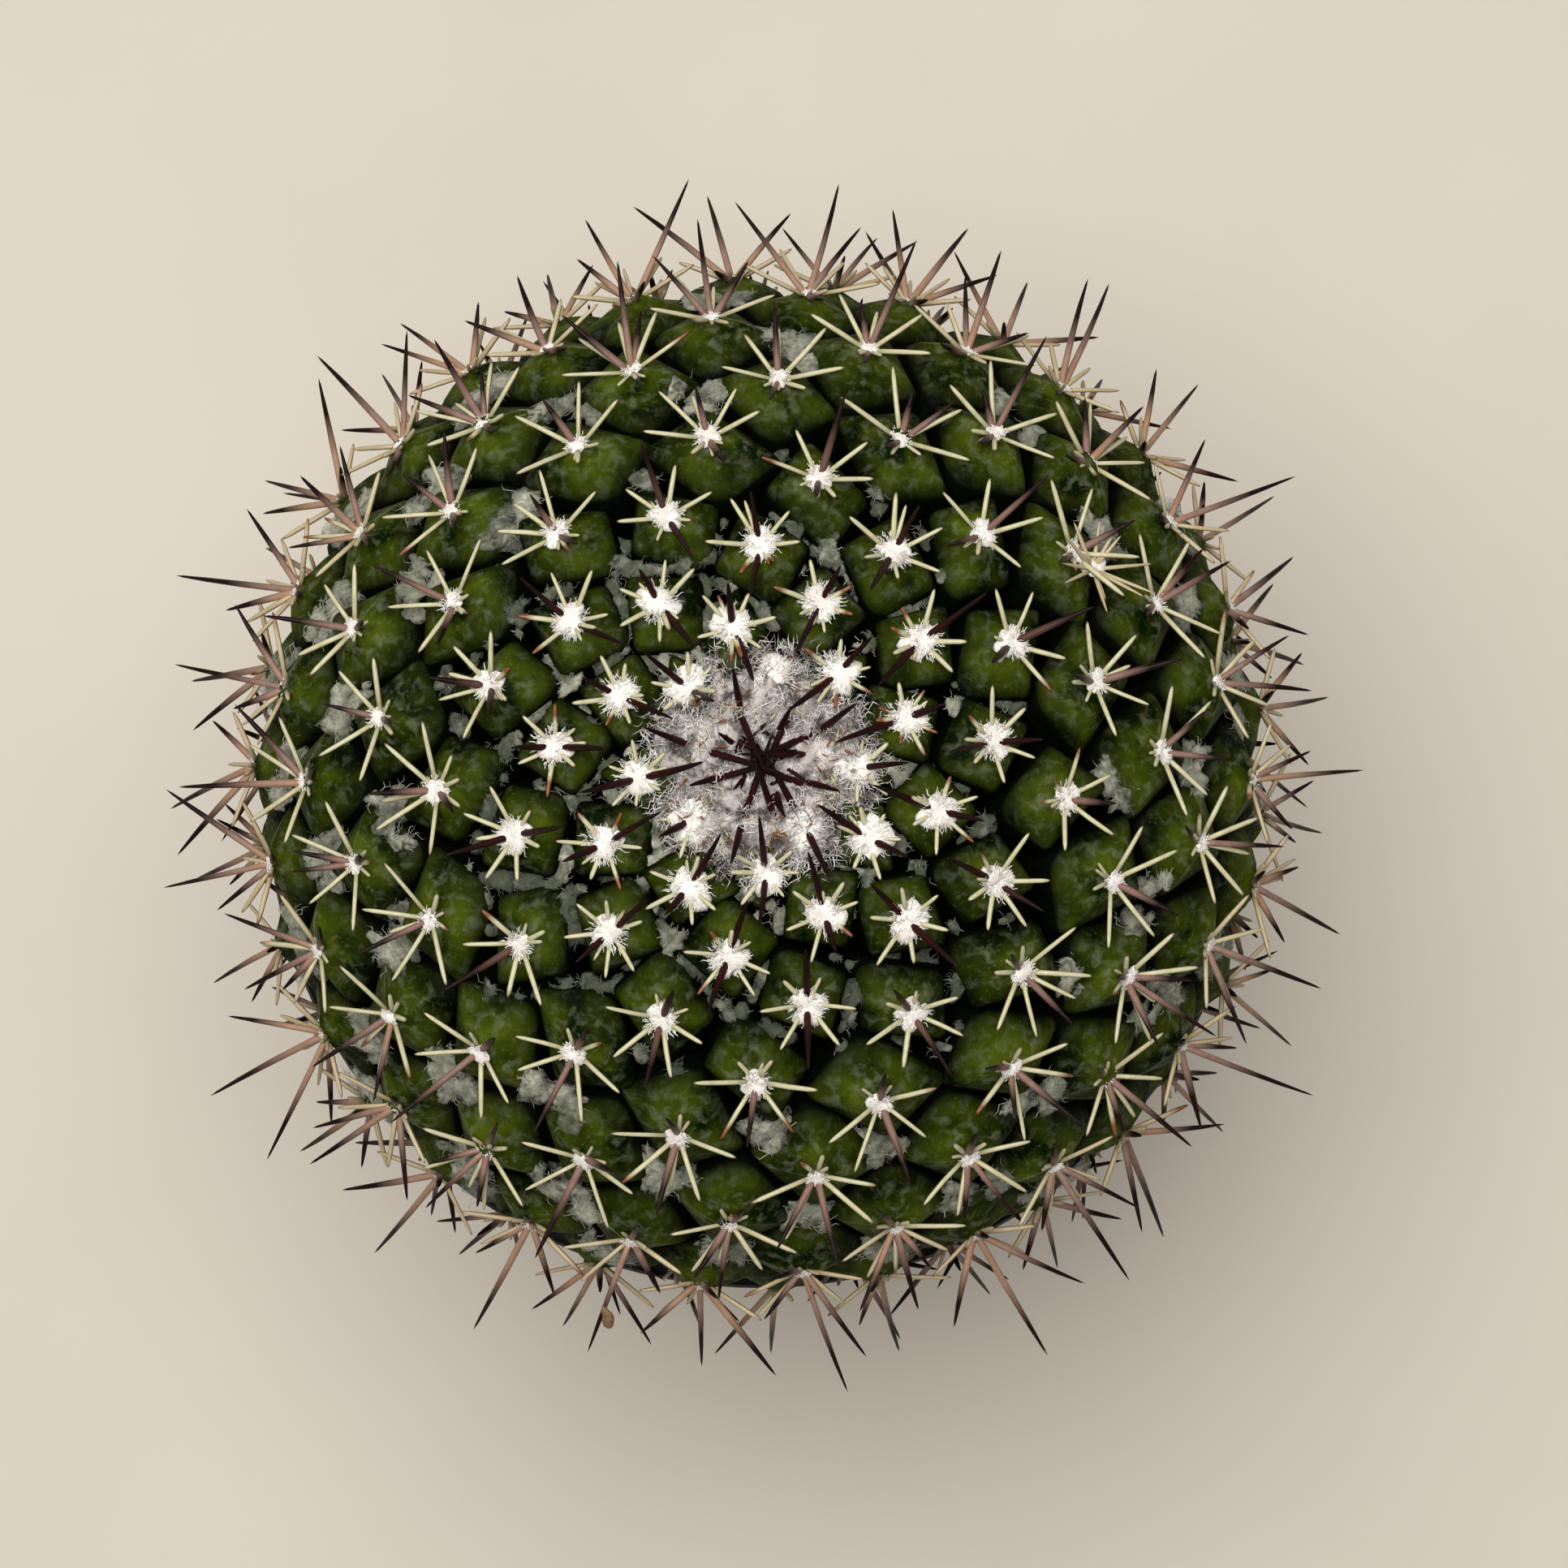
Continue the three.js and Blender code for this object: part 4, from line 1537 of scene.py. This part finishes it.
    def build(self) -> list[bpy.types.Object]:
        """Builds the radial spines, the central spines, and the young spines and bristles in the felt.

        Returns:
            The dressed pieces.
        """
        radials = Bundle(model_needle(5, (0.5, 1.0), (0.84, 0.88), (0.96, 0.52)))
        dark = model_needle(7, (0.15, 0.98), (0.45, 0.9), (0.75, 0.66), (0.94, 0.34))
        centrals, young = Bundle(dark), Bundle(dark)
        bristles = Bundle(model_needle(5, (0.5, 0.8)))
        draw = np.random.default_rng(SEED + 8)
        for here in self.rule.areoles(self.first, self.rule.count):
            self.add_areole(here, radials, centrals, draw)
        for here in self.rule.areoles(1, self.felt_areoles):
            self.add_young(here, young)
        self.add_buds(young, bristles, draw)
        return [
            dress(radials.piece("radial_spines"), Finishes.RADIAL, "cactus_flesh", "cactus"),
            dress(centrals.piece("central_spines"), Finishes.CENTRAL, "cactus_flesh", "cactus"),
            dress(young.piece("crown_spines"), Finishes.CENTRAL, "crown_felt", "crown_wool"),
            dress(bristles.piece("crown_bristles"), Finishes.RADIAL, "crown_felt"),
        ]

    def add_buds(self, young: Bundle, bristles: Bundle, draw: np.random.Generator) -> None:
        """Adds what only just shows out of the felt: dark tips in the middle and foxed bristles round it.

        Args:
            young: Young dark spines gathered so far.
            bristles: Bristles gathered so far.
            draw: Random numbers.
        """
        for _ in range(self.buds):
            turn, radius = draw.uniform(0, 2 * math.pi), draw.uniform(*self.bud_circles)
            outward = around(turn, 1, 0)
            way = np.array([*draw.normal(size=2) * 0.5, 0.45]) - outward * draw.uniform(-0.6, 0.8)
            young.add(
                around(turn, radius, self.felt_top - self.bud_depth) * MM,
                unit(way),
                draw.uniform(*self.bud_lengths) * MM,
                self.central_width * self.bud_thinness,
                tone=0.9,
            )
        for _ in range(self.bristles):
            turn, radius = draw.uniform(0, 2 * math.pi), draw.uniform(*self.bristle_circles)
            height = float(np.interp(radius, self.bristle_radii, self.bristle_heights))
            bristles.add(
                around(turn, radius, height) * MM,
                unit(np.array([*draw.normal(size=2), draw.uniform(0.1, 0.7)])),
                draw.uniform(*self.bristle_lengths) * MM,
                self.bristle_width,
                tone=draw.uniform(0.9, 1.3),
            )

    def solid_spines(self, index: int, age: float, grown: float) -> Iterator[SpinePlan]:
        """Plans the spines of an areole that the solids have too, in the order of their series.

        Args:
            index: Number of the areole.
            age: Its age from 0 to 1.
            grown: Share of their full length that its radials have reached.

        Returns:
            The spines one by one.
        """
        jitter = Series(SEED + index)
        long, turned, lifted = self.radial_jitters
        under = self.underside_bearings if index < self.hidden else ()
        for bearing in self.radial_bearings if index < self.underside else under:
            length = self.radial_length * grown + jitter(long)
            turn = bearing + jitter(turned)
            yield SpinePlan(False, turn, self.radial_lift + jitter(lifted), length, self.radial_spread)
        (young, old), (little, much) = self.central_lengths, self.central_jitters
        steep, flat = self.central_lifts
        length = young + (old - young) * age**self.central_lengthening
        length += jitter(little + (much - little) * age)
        lift = steep + (flat - steep) * age + jitter(self.central_lift_jitter)
        yield SpinePlan(True, jitter(self.central_bearing_jitter), lift, length, self.central_spread)
        if index < self.inner_last:
            long, turned, lifted = self.inner_jitters
            length = self.inner_length + jitter(long)
            turn = 180 + jitter(turned)
            yield SpinePlan(True, turn, self.inner_lift + jitter(lifted), length, self.central_spread)

    def finer_spines(
        self, index: int, age: float, grown: float, draw: np.random.Generator
    ) -> Iterator[SpinePlan]:
        """Plans the spines that the solids leave out: short upper radials, a lower one and more centrals.

        Args:
            index: Number of the areole.
            age: Its age from 0 to 1.
            grown: Share of their full length that its radials have reached.
            draw: Random numbers.

        Returns:
            The spines one by one.
        """
        for bearing in self.upper_bearings:
            turn = bearing + draw.normal() * self.finer_turn
            length = self.upper_length * draw.uniform(0.75, 1.2)
            yield SpinePlan(False, turn, draw.uniform(*self.upper_lifts), length, self.upper_spread)
        if draw.uniform() < self.lower_share:
            turn = draw.normal() * self.finer_turn
            length = self.lower_length * grown * draw.uniform(0.7, 1.1)
            yield SpinePlan(False, turn, self.lower_lift, length, self.lower_spread)
        if index >= self.inner_last and draw.uniform() < self.late_share:
            lift = float(np.interp(index, self.late_areoles, self.late_lifts))
            lift += draw.normal() * self.late_tilt
            turn, length = 180 + draw.normal() * self.late_turn, draw.uniform(*self.late_lengths)
            yield SpinePlan(True, turn, lift, length, self.central_spread)
        for side in (-1, 1):
            if draw.uniform() < np.interp(index, self.side_areoles, (0, self.side_share)):
                short, growth = self.side_lengths
                length = (short + growth * age**2) * draw.uniform(0.55, 1.25)
                turn, lift = side * draw.uniform(*self.side_bearings), draw.uniform(*self.side_lifts)
                yield SpinePlan(True, turn, lift, length, self.side_spread)

    def add_areole(
        self, here: Areole, radials: Bundle, centrals: Bundle, draw: np.random.Generator
    ) -> None:
        """Adds the spines of one areole, those of the solids first and in their order.

        Args:
            here: The areole.
            radials: Radial spines gathered so far.
            centrals: Central spines gathered so far.
            draw: Random numbers of the finer spines.
        """
        index = here.index
        age = min(index / self.old_areole, 1.0)
        grown = self.young_share + (1 - self.young_share) * min(index / self.grown_areole, 1.0)
        finer = self.finer_spines(index, age, grown, draw)
        for plan in [*self.solid_spines(index, age, grown), *finer]:
            placed = self.place(here, plan)
            if placed is None:
                continue
            if plan.central:
                self.mains.setdefault(index, placed)
            root, way, whole = placed
            is_thin = not plan.central and plan.length < self.thin_length
            thin = self.thin_share if is_thin else draw.uniform(0.85, 1.1)
            width = self.central_width if plan.central else self.radial_width
            bend = draw.normal(size=3) * 0.02 * whole
            # Spines that point to the crown look younger than the others, and their centrals don't fox.
            inner = abs(plan.bearing) > self.inward
            aging = self.inward_agings[index >= self.inner_last]
            worn = age * (aging if inner else draw.uniform(0.92, 1.06))
            foxing = 0.0 if plan.central else float(np.interp(index, self.foxed_areoles, self.foxing))
            tone = 0.3 if plan.central and inner else draw.uniform(0, 0.85) + foxing
            (centrals if plan.central else radials).add(
                root, way, whole, width * thin, bend=bend, age=worn, tone=tone
            )

    def add_young(self, here: Areole, young: Bundle) -> None:
        """Adds the two spines of an areole in the felt; the inner ones meet over the growing point.

        Args:
            here: The areole.
            young: Young spines gathered so far.
        """
        jitter = Series(SEED + here.index)
        outer = self.inner_length * (0.6 + 0.4 * here.index / self.felt_areoles) * MM
        bearing = jitter(15)
        way = here.direction(bearing, self.central_lifts[0] + jitter(8))
        height = self.felt_top + self.meeting_height
        meeting = np.array([jitter(1), jitter(1), height + jitter(1)]) * MM
        flat = unit(here.place[:2])
        near, far = self.felt_circles
        circle = near + (far - near) * here.index / self.felt_areoles
        foot = np.array([*(flat * circle), self.felt_top - self.felt_depth]) * MM
        root = here.place.copy()
        root[2] = min(root[2], foot[2])
        outer_tip = here.place + way * outer
        for start, end in ((root, outer_tip), (foot, foot + (meeting - foot) * self.overshoot)):
            whole = float(np.linalg.norm(end - start))
            young.add(start, (end - start) / whole, whole, self.central_width, tone=0.5)


@dataclass
class Blemishes:
    """What the years have left on this plant: a doubled areole, corky scabs and a dried flower scrap."""

    # Each scab has its areole's number, its place in shares of two cell corners, and its size.
    rule: GrowthRule
    spines: Spines
    doubled: int = 64
    doubled_off: Pair = (-2.3, 1.1)
    doubled_depth: float = 0.5
    doubled_spines: int = 13
    doubled_lengths: Pair = (3.4, 6.4)
    doubled_lifts: Pair = (12, 45)
    doubled_width: float = 0.24 * MM
    pad_cushions: int = 14
    pad_turn: float = 137
    pad_lift: float = 0.3 * MM
    pad_reach: Pair = (0.2, 1.3)
    scabs: tuple[tuple[int, float, float, float], ...] = (
        (97, -0.25, -0.5, 0.62), (71, 0.3, -0.42, 0.35), (108, 0.2, -0.5, 0.4), (83, -0.3, -0.3, 0.3)
    )
    scab_depth: float = 0.3
    scab_flatness: float = 0.35
    scrap_areole: int = 97
    scrap_place: float = 0.6
    scrap_size: tuple[float, float, float] = (1.2, 0.6, 0.4)

    def build(self) -> list[bpy.types.Object]:
        """Builds the doubled areole's short spines and wool, the scabs and the scrap."""
        draw = np.random.default_rng(SEED + 9)
        return [*self.build_doubled(draw), self.build_scabs(draw), self.build_scrap()]

    def build_doubled(self, draw: np.random.Generator) -> list[bpy.types.Object]:
        """Builds the fan of short spines beside an areole, and the pad of wool under it.

        Args:
            draw: Random numbers.

        Returns:
            The dressed spines and wool.
        """
        fan = Bundle(model_needle(5, (0.35, 0.96), (0.7, 0.74), (0.92, 0.36)))
        here = self.rule.areole(self.doubled)
        right, lower = self.doubled_off
        off = here.round * right + here.down * lower - here.axis * self.doubled_depth
        middle = here.place + off * MM
        for k in range(self.doubled_spines):
            bearing = k * 360 / self.doubled_spines + draw.normal() * 8
            way = here.direction(bearing, draw.uniform(*self.doubled_lifts))
            length = draw.uniform(*self.doubled_lengths) * MM
            fan.add(middle, way, length, self.doubled_width, age=0.9, tone=draw.uniform(0, 0.8))
        pad = Heap(model_lump(2))
        for k in range(self.pad_cushions):
            off = here.direction(k * self.pad_turn, 0) * draw.uniform(*self.pad_reach) * MM
            axes = np.array([here.round, -here.down, here.axis * 0.5]) * draw.uniform(0.3, 0.6) * MM
            pad.add(middle + here.axis * self.pad_lift + off, axes, draw.uniform(-0.3, 0.2))
        return [
            dress(fan.piece("doubled_areole_spines"), Finishes.RADIAL, "cactus_flesh", "cactus"),
            dress(pad.piece("doubled_areole_wool", 0.28, 0.9 * MM), Finishes.WOOL, "cactus_flesh"),
        ]

    def build_scabs(self, draw: np.random.Generator) -> bpy.types.Object:
        """Builds the corky scabs, each on the slope of its tubercle.

        Args:
            draw: Random numbers.

        Returns:
            The dressed scabs.
        """
        scabs = Heap(model_lump(2))
        for index, across, up, size in self.scabs:
            here = self.rule.areole(index)
            first, second = self.rule.cell(here)
            off = first * across + second * up
            normal = unit(here.axis + unit(off))
            side = unit(np.cross(normal, here.round))
            axes = np.array([np.cross(side, normal), side, normal * self.scab_flatness]) * size * MM
            spot = here.place + off - here.axis * here.length * self.scab_depth
            scabs.add(spot, axes, draw.uniform(0, 0.4))
        return dress(scabs.piece("cork_scabs", 0.25, 0.5 * MM), Finishes.SCAB, "cactus_flesh")

    def build_scrap(self) -> bpy.types.Object:
        """Builds the scrap of dried flower that hangs on a central spine.

        Returns:
            The dressed scrap.
        """
        root, way, whole = self.spines.mains[self.scrap_areole]
        wide = unit(np.cross(way, [0.0, 0.0, 1.0]))
        along = unit(way - wide * 0.9)
        thick = unit(np.cross(along, wide))
        scrap = Heap(model_lump(3))
        axes = np.array([along, unit(np.cross(thick, along)), thick])
        axes *= np.array(self.scrap_size)[:, None] * MM
        scrap.add(root + way * whole * self.scrap_place + axes[0] * 0.8, axes, 0.1)
        return dress(scrap.piece("dried_flower", 0.2, 0.9 * MM), Finishes.HUSK, "cactus_flesh")


# The pot and what fills it


@dataclass
class NurseryPot:
    """Thin black nursery pot: tapered wall, rim turned down as a skirt, raised floor with drain holes."""

    # Lengths are in millimetres. Edges that turn by more than sharpest, in degrees, aren't smoothed.
    height: float = 88
    rim_radius: float = 50.8
    base_radius: float = 37
    wall: float = 1.2
    skirt_gap: float = 1.3
    skirt_height: float = 8
    floor_lift: float = 2
    floor_thickness: float = 1.4
    foot_width: float = 3.2
    pad_radius: float = 9
    drains: int = 6
    drain_radius: float = 3.6
    drain_circle: float = 21.5
    drain_faces: int = 32
    drill_length: float = 20
    notch_width: float = 9
    notch_length: float = 12
    notch_margin: float = 0.3
    waist: float = 40
    steps: int = 128
    sharpest: float = 32

    def wall_radius(self, height: Any) -> Any:
        """Outer radius of the tapered wall at one height or many, in millimetres."""
        top = self.rim_radius - self.wall - self.skirt_gap
        return self.base_radius + (top - self.base_radius) * height / self.height

    def profile(self) -> Pairs:
        """Outline of the moulding from the middle of its foot over the rim to the middle of its floor.

        Returns:
            Radius and height of each point, in millimetres.
        """
        lift, wall, pad = self.floor_lift, self.wall, self.pad_radius
        rim, top, floor = self.rim_radius, self.height, lift + self.floor_thickness
        foot, heel = self.base_radius, self.base_radius - self.foot_width
        hem, skirt, lip = top - self.skirt_height, rim - wall, top - wall
        mouth, bottom = self.wall_radius(top) - wall, self.wall_radius(floor) - wall
        return [
            (0, 0.25), (1.6, 0.25), (1.8, 0), (pad, 0), (pad + 0.4, 0.3), (pad + 1, lift - 0.3),
            (pad + 1.4, lift), (heel - 1.4, lift), (heel - 1, lift - 0.3), (heel - 0.2, 0.2), (heel, 0),
            (foot - 1, 0), (foot - 0.3, 0.25), (self.wall_radius(1.2), 1.2),
            (self.wall_radius(self.waist), self.waist), (self.wall_radius(lip - 0.4), lip - 0.4),
            (self.wall_radius(top) + 0.4, lip), (skirt - 0.3, lip), (skirt, lip - 0.4),
            (skirt, hem + 0.2), (skirt + 0.2, hem), (rim - 0.2, hem), (rim, hem + 0.2),
            (rim, top - 1.1), (rim - 0.1, top - 0.6), (rim - 0.35, top - 0.2), (rim - 0.8, top),
            (mouth + 0.7, top), (mouth + 0.2, top - 0.15), (mouth, top - 0.7),
            (self.wall_radius(self.waist) - wall, self.waist),
            (bottom + 0.4, floor + 1.5), (bottom - 0.3, floor + 0.4), (bottom - 1.5, floor), (0, floor),
        ]

    def build(self) -> list[bpy.types.Object]:
        """Builds the moulding, with its drain holes and the notches in its foot.

        Returns:
            The dressed pieces.
        """
        pot = revolve("nursery_pot", self.profile(), self.steps)
        depth = 2 * self.floor_lift * MM - 2 * self.notch_margin * MM
        for k in range(self.drains):
            angle = k * 2 * math.pi / self.drains
            bpy.ops.mesh.primitive_cylinder_add(
                vertices=self.drain_faces,
                radius=self.drain_radius * MM,
                depth=self.drill_length * MM,
                location=around(angle, self.drain_circle * MM, 0),
            )
            self.cut(pot, bpy.context.object)
            bpy.ops.mesh.primitive_cube_add(
                size=1,
                location=around(angle, self.base_radius * MM, 0),
                rotation=(0, 0, angle),
                scale=(self.notch_length * MM, self.notch_width * MM, depth),
            )
            self.cut(pot, bpy.context.object)
        only(pot)
        bpy.ops.object.shade_smooth_by_angle(angle=math.radians(self.sharpest))
        return [dress(pot, Finishes.POT, "pot_plastic", "pot")]

    def cut(self, pot: bpy.types.Object, cutter: bpy.types.Object) -> None:
        """Cuts one shape out of the pot and removes it."""
        finish_modifier(pot, "BOOLEAN", object=cutter, operation="DIFFERENCE", solver="EXACT")
        bpy.data.objects.remove(cutter)


@dataclass
class PottingMix:
    """Potting mix with its loose top: peat with pumice, perlite and bark."""

    # Waves are given by their share of the relief and their size. The hole follows the stem's base, and
    # its mouth is a little wider where the side slopes. Each grain has its finish, number and size.
    pot: NurseryPot
    base: Pairs
    level: float = 79
    relief: float = 0.9
    waves: Pairs = ((0.6, 5), (0.4, 1.6))
    edge: float = 0.5
    clearance: float = 0.3
    steps: int = 144
    rings: int = 16
    grain_circle: float = 28
    grain_margin: float = 1.8
    grains: dict[str, tuple[Finishes, int, float]] = field(
        default_factory=lambda: {
            "pumice_grains": (Finishes.PUMICE, 260, 0.9),
            "perlite_grains": (Finishes.PERLITE, 110, 1.1),
            "bark_chips": (Finishes.BARK, 120, 1.5),
        }
    )

    def side(self, height: float) -> float:
        """Radius of the fill at a height, in millimetres."""
        return self.pot.wall_radius(height) - self.pot.wall - self.clearance

    def build(self) -> list[bpy.types.Object]:
        """Builds the fill with its uneven top, and the grains that lie on it.

        Returns:
            The dressed pieces.
        """
        side, lowest = self.side(self.level), self.side(0)
        bottom = self.pot.floor_lift + self.pot.floor_thickness + self.clearance
        hole = [(radius + self.clearance, height - self.clearance) for radius, height in self.base[2:-1]]
        mouth = self.base[1][0] + 2 * self.clearance
        top = [(float(radius), self.level) for radius in np.linspace(side, mouth, self.rings)]
        foot = [(0, bottom), (lowest - 2, bottom), (self.side(bottom + 2), bottom + 2)]
        end = (0, self.base[-1][1] - self.clearance)
        mix = revolve("potting_mix", [*foot, *top, *hole, end], self.steps)
        places = points_of(mix)
        inside = np.hypot(places[:, 0], places[:, 1]) / MM
        on_top = (places[:, 2] > (self.level - 0.1) * MM) & (inside < side - self.edge)
        on_top &= inside > mouth + 0.4
        (high, wide), (low, narrow) = self.waves
        waves = ripple(places, wide * MM, SEED + 10) * high + ripple(places, narrow * MM, SEED + 11) * low
        places[:, 2] += on_top * waves * self.relief * MM
        settle(mix, places)
        made = [dress(mix, Finishes.PEAT, "potting_mix", "soil")]
        draw = np.random.default_rng(SEED + 12)
        for name, (finish, count, size) in self.grains.items():
            heap = Heap(model_lump(1))
            for _ in range(count):
                inner, outer = self.grain_circle**2, (side - self.grain_margin) ** 2
                radius, angle = math.sqrt(draw.uniform(inner, outer)), draw.uniform(0, 2 * math.pi)
                spot = around(angle, radius, self.level + draw.uniform(0.1, 0.7)) * MM
                turned = np.linalg.qr(draw.normal(size=(3, 3)))[0]
                turned *= np.sign(np.linalg.det(turned))
                half = np.array([1.0, draw.uniform(0.5, 0.9), draw.uniform(0.3, 0.7)]) * size * MM
                heap.add(spot, turned * half[:, None] * draw.uniform(0.5, 1.1), draw.uniform(-0.2, 0.4))
            made.append(dress(heap.piece(name, 0.3, 0.8 * MM), finish, "potting_mix"))
        return made


# Floor, light and camera


@dataclass
class Studio:
    """Pale floor under the plant, soft light from above and the camera that looks down on the crown."""

    # Places and distances are in metres, lens and sensor in millimetres and the power in watts.
    floor_size: float = 3.0
    floor_cells: int = 60
    aim: tuple[float, float, float] = (0, 0, 0.105)
    camera_way: tuple[float, float, float] = (-0.008, -0.0495, 0.9987)
    camera_up: tuple[float, float, float] = (-0.0004, 0.9988, 0.0495)
    distance: float = 0.4314
    sideways: float = 0.0023
    lens: float = 100.2
    sensor: float = 36
    nearest: float = 0.01
    key_way: tuple[float, float, float] = (-0.12, 0.15, 1.0)
    key_size: float = 1.0
    key_power: float = 19.5
    key_distance: float = 1.2
    key_colour: str = "#fffaf2"
    sky: str = "#dcdcd8"
    sky_strength: float = 0.15

    def build(self) -> None:
        """Builds the floor, the lights and the camera."""
        self.build_floor()
        self.build_light()
        self.build_camera()

    def build_floor(self) -> None:
        """Lays the floor."""
        cells = self.floor_cells
        bpy.ops.mesh.primitive_grid_add(x_subdivisions=cells, y_subdivisions=cells, size=self.floor_size)
        floor = bpy.context.object
        floor.name = "floor"
        floor.data.materials.append(Finishes.FLOOR.material())
        floor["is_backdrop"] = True

    def build_light(self) -> None:
        """Hangs one large soft light over the plant and sets the sky's fill."""
        lamp = bpy.data.lights.new("soft_key", "AREA")
        lamp.shape, lamp.size, lamp.energy = "DISK", self.key_size, self.key_power
        lamp.color = linear(self.key_colour)[:3]
        key = add_object("soft_key", lamp)
        away = Vector(unit(np.array(self.key_way)))
        key.matrix_world = away.to_track_quat("Z", "Y").to_matrix().to_4x4()
        key.location = Vector(self.aim) + away * self.key_distance
        world = bpy.data.worlds.new("studio_sky")
        world.use_nodes = True
        backdrop = world.node_tree.nodes["Background"]
        backdrop.inputs["Color"].default_value = linear(self.sky)
        backdrop.inputs["Strength"].default_value = self.sky_strength
        bpy.context.scene.world = world
        bpy.context.scene.view_settings.view_transform = "Standard"

    def build_camera(self) -> None:
        """Sets the camera on its line from the stem, moved a little sideways to frame the plant."""
        back, up = Vector(self.camera_way).normalized(), Vector(self.camera_up).normalized()
        right = up.cross(back).normalized()
        camera = add_object("camera", bpy.data.cameras.new("camera"))
        camera.data.lens, camera.data.sensor_width = self.lens, self.sensor
        camera.data.clip_start = self.nearest
        place = Vector(self.aim) + back * self.distance + right * self.sideways
        turned = Matrix((right, up, back)).transposed().to_4x4()
        camera.matrix_world = Matrix.Translation(place) @ turned
        bpy.context.scene.camera = camera


def write_sizes() -> None:
    boxes = {"cad": CAD_BOX, "visual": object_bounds()}
    plain = {name: [[float(v) for v in corner] for corner in box] for name, box in boxes.items()}


def main() -> None:
    """Builds the studio and the plant, and reports each piece."""
    logging.basicConfig(level=logging.INFO, format="%(name)s: %(message)s")
    Studio().build()
    rule, pot = GrowthRule(), NurseryPot()
    stem, spines = Stem(rule), Spines(rule, pot)
    groups = (
        stem, AreoleWool(rule), CrownFelt(rule), AxilWool(rule), spines, Blemishes(rule, spines),
        pot, PottingMix(pot, stem.base),
    )
    for group in groups:
        made = group.build()
        LOG.info("%s: %d pieces", type(group).__name__, len(made))
    write_sizes()


if __name__ == "__main__":
    main()
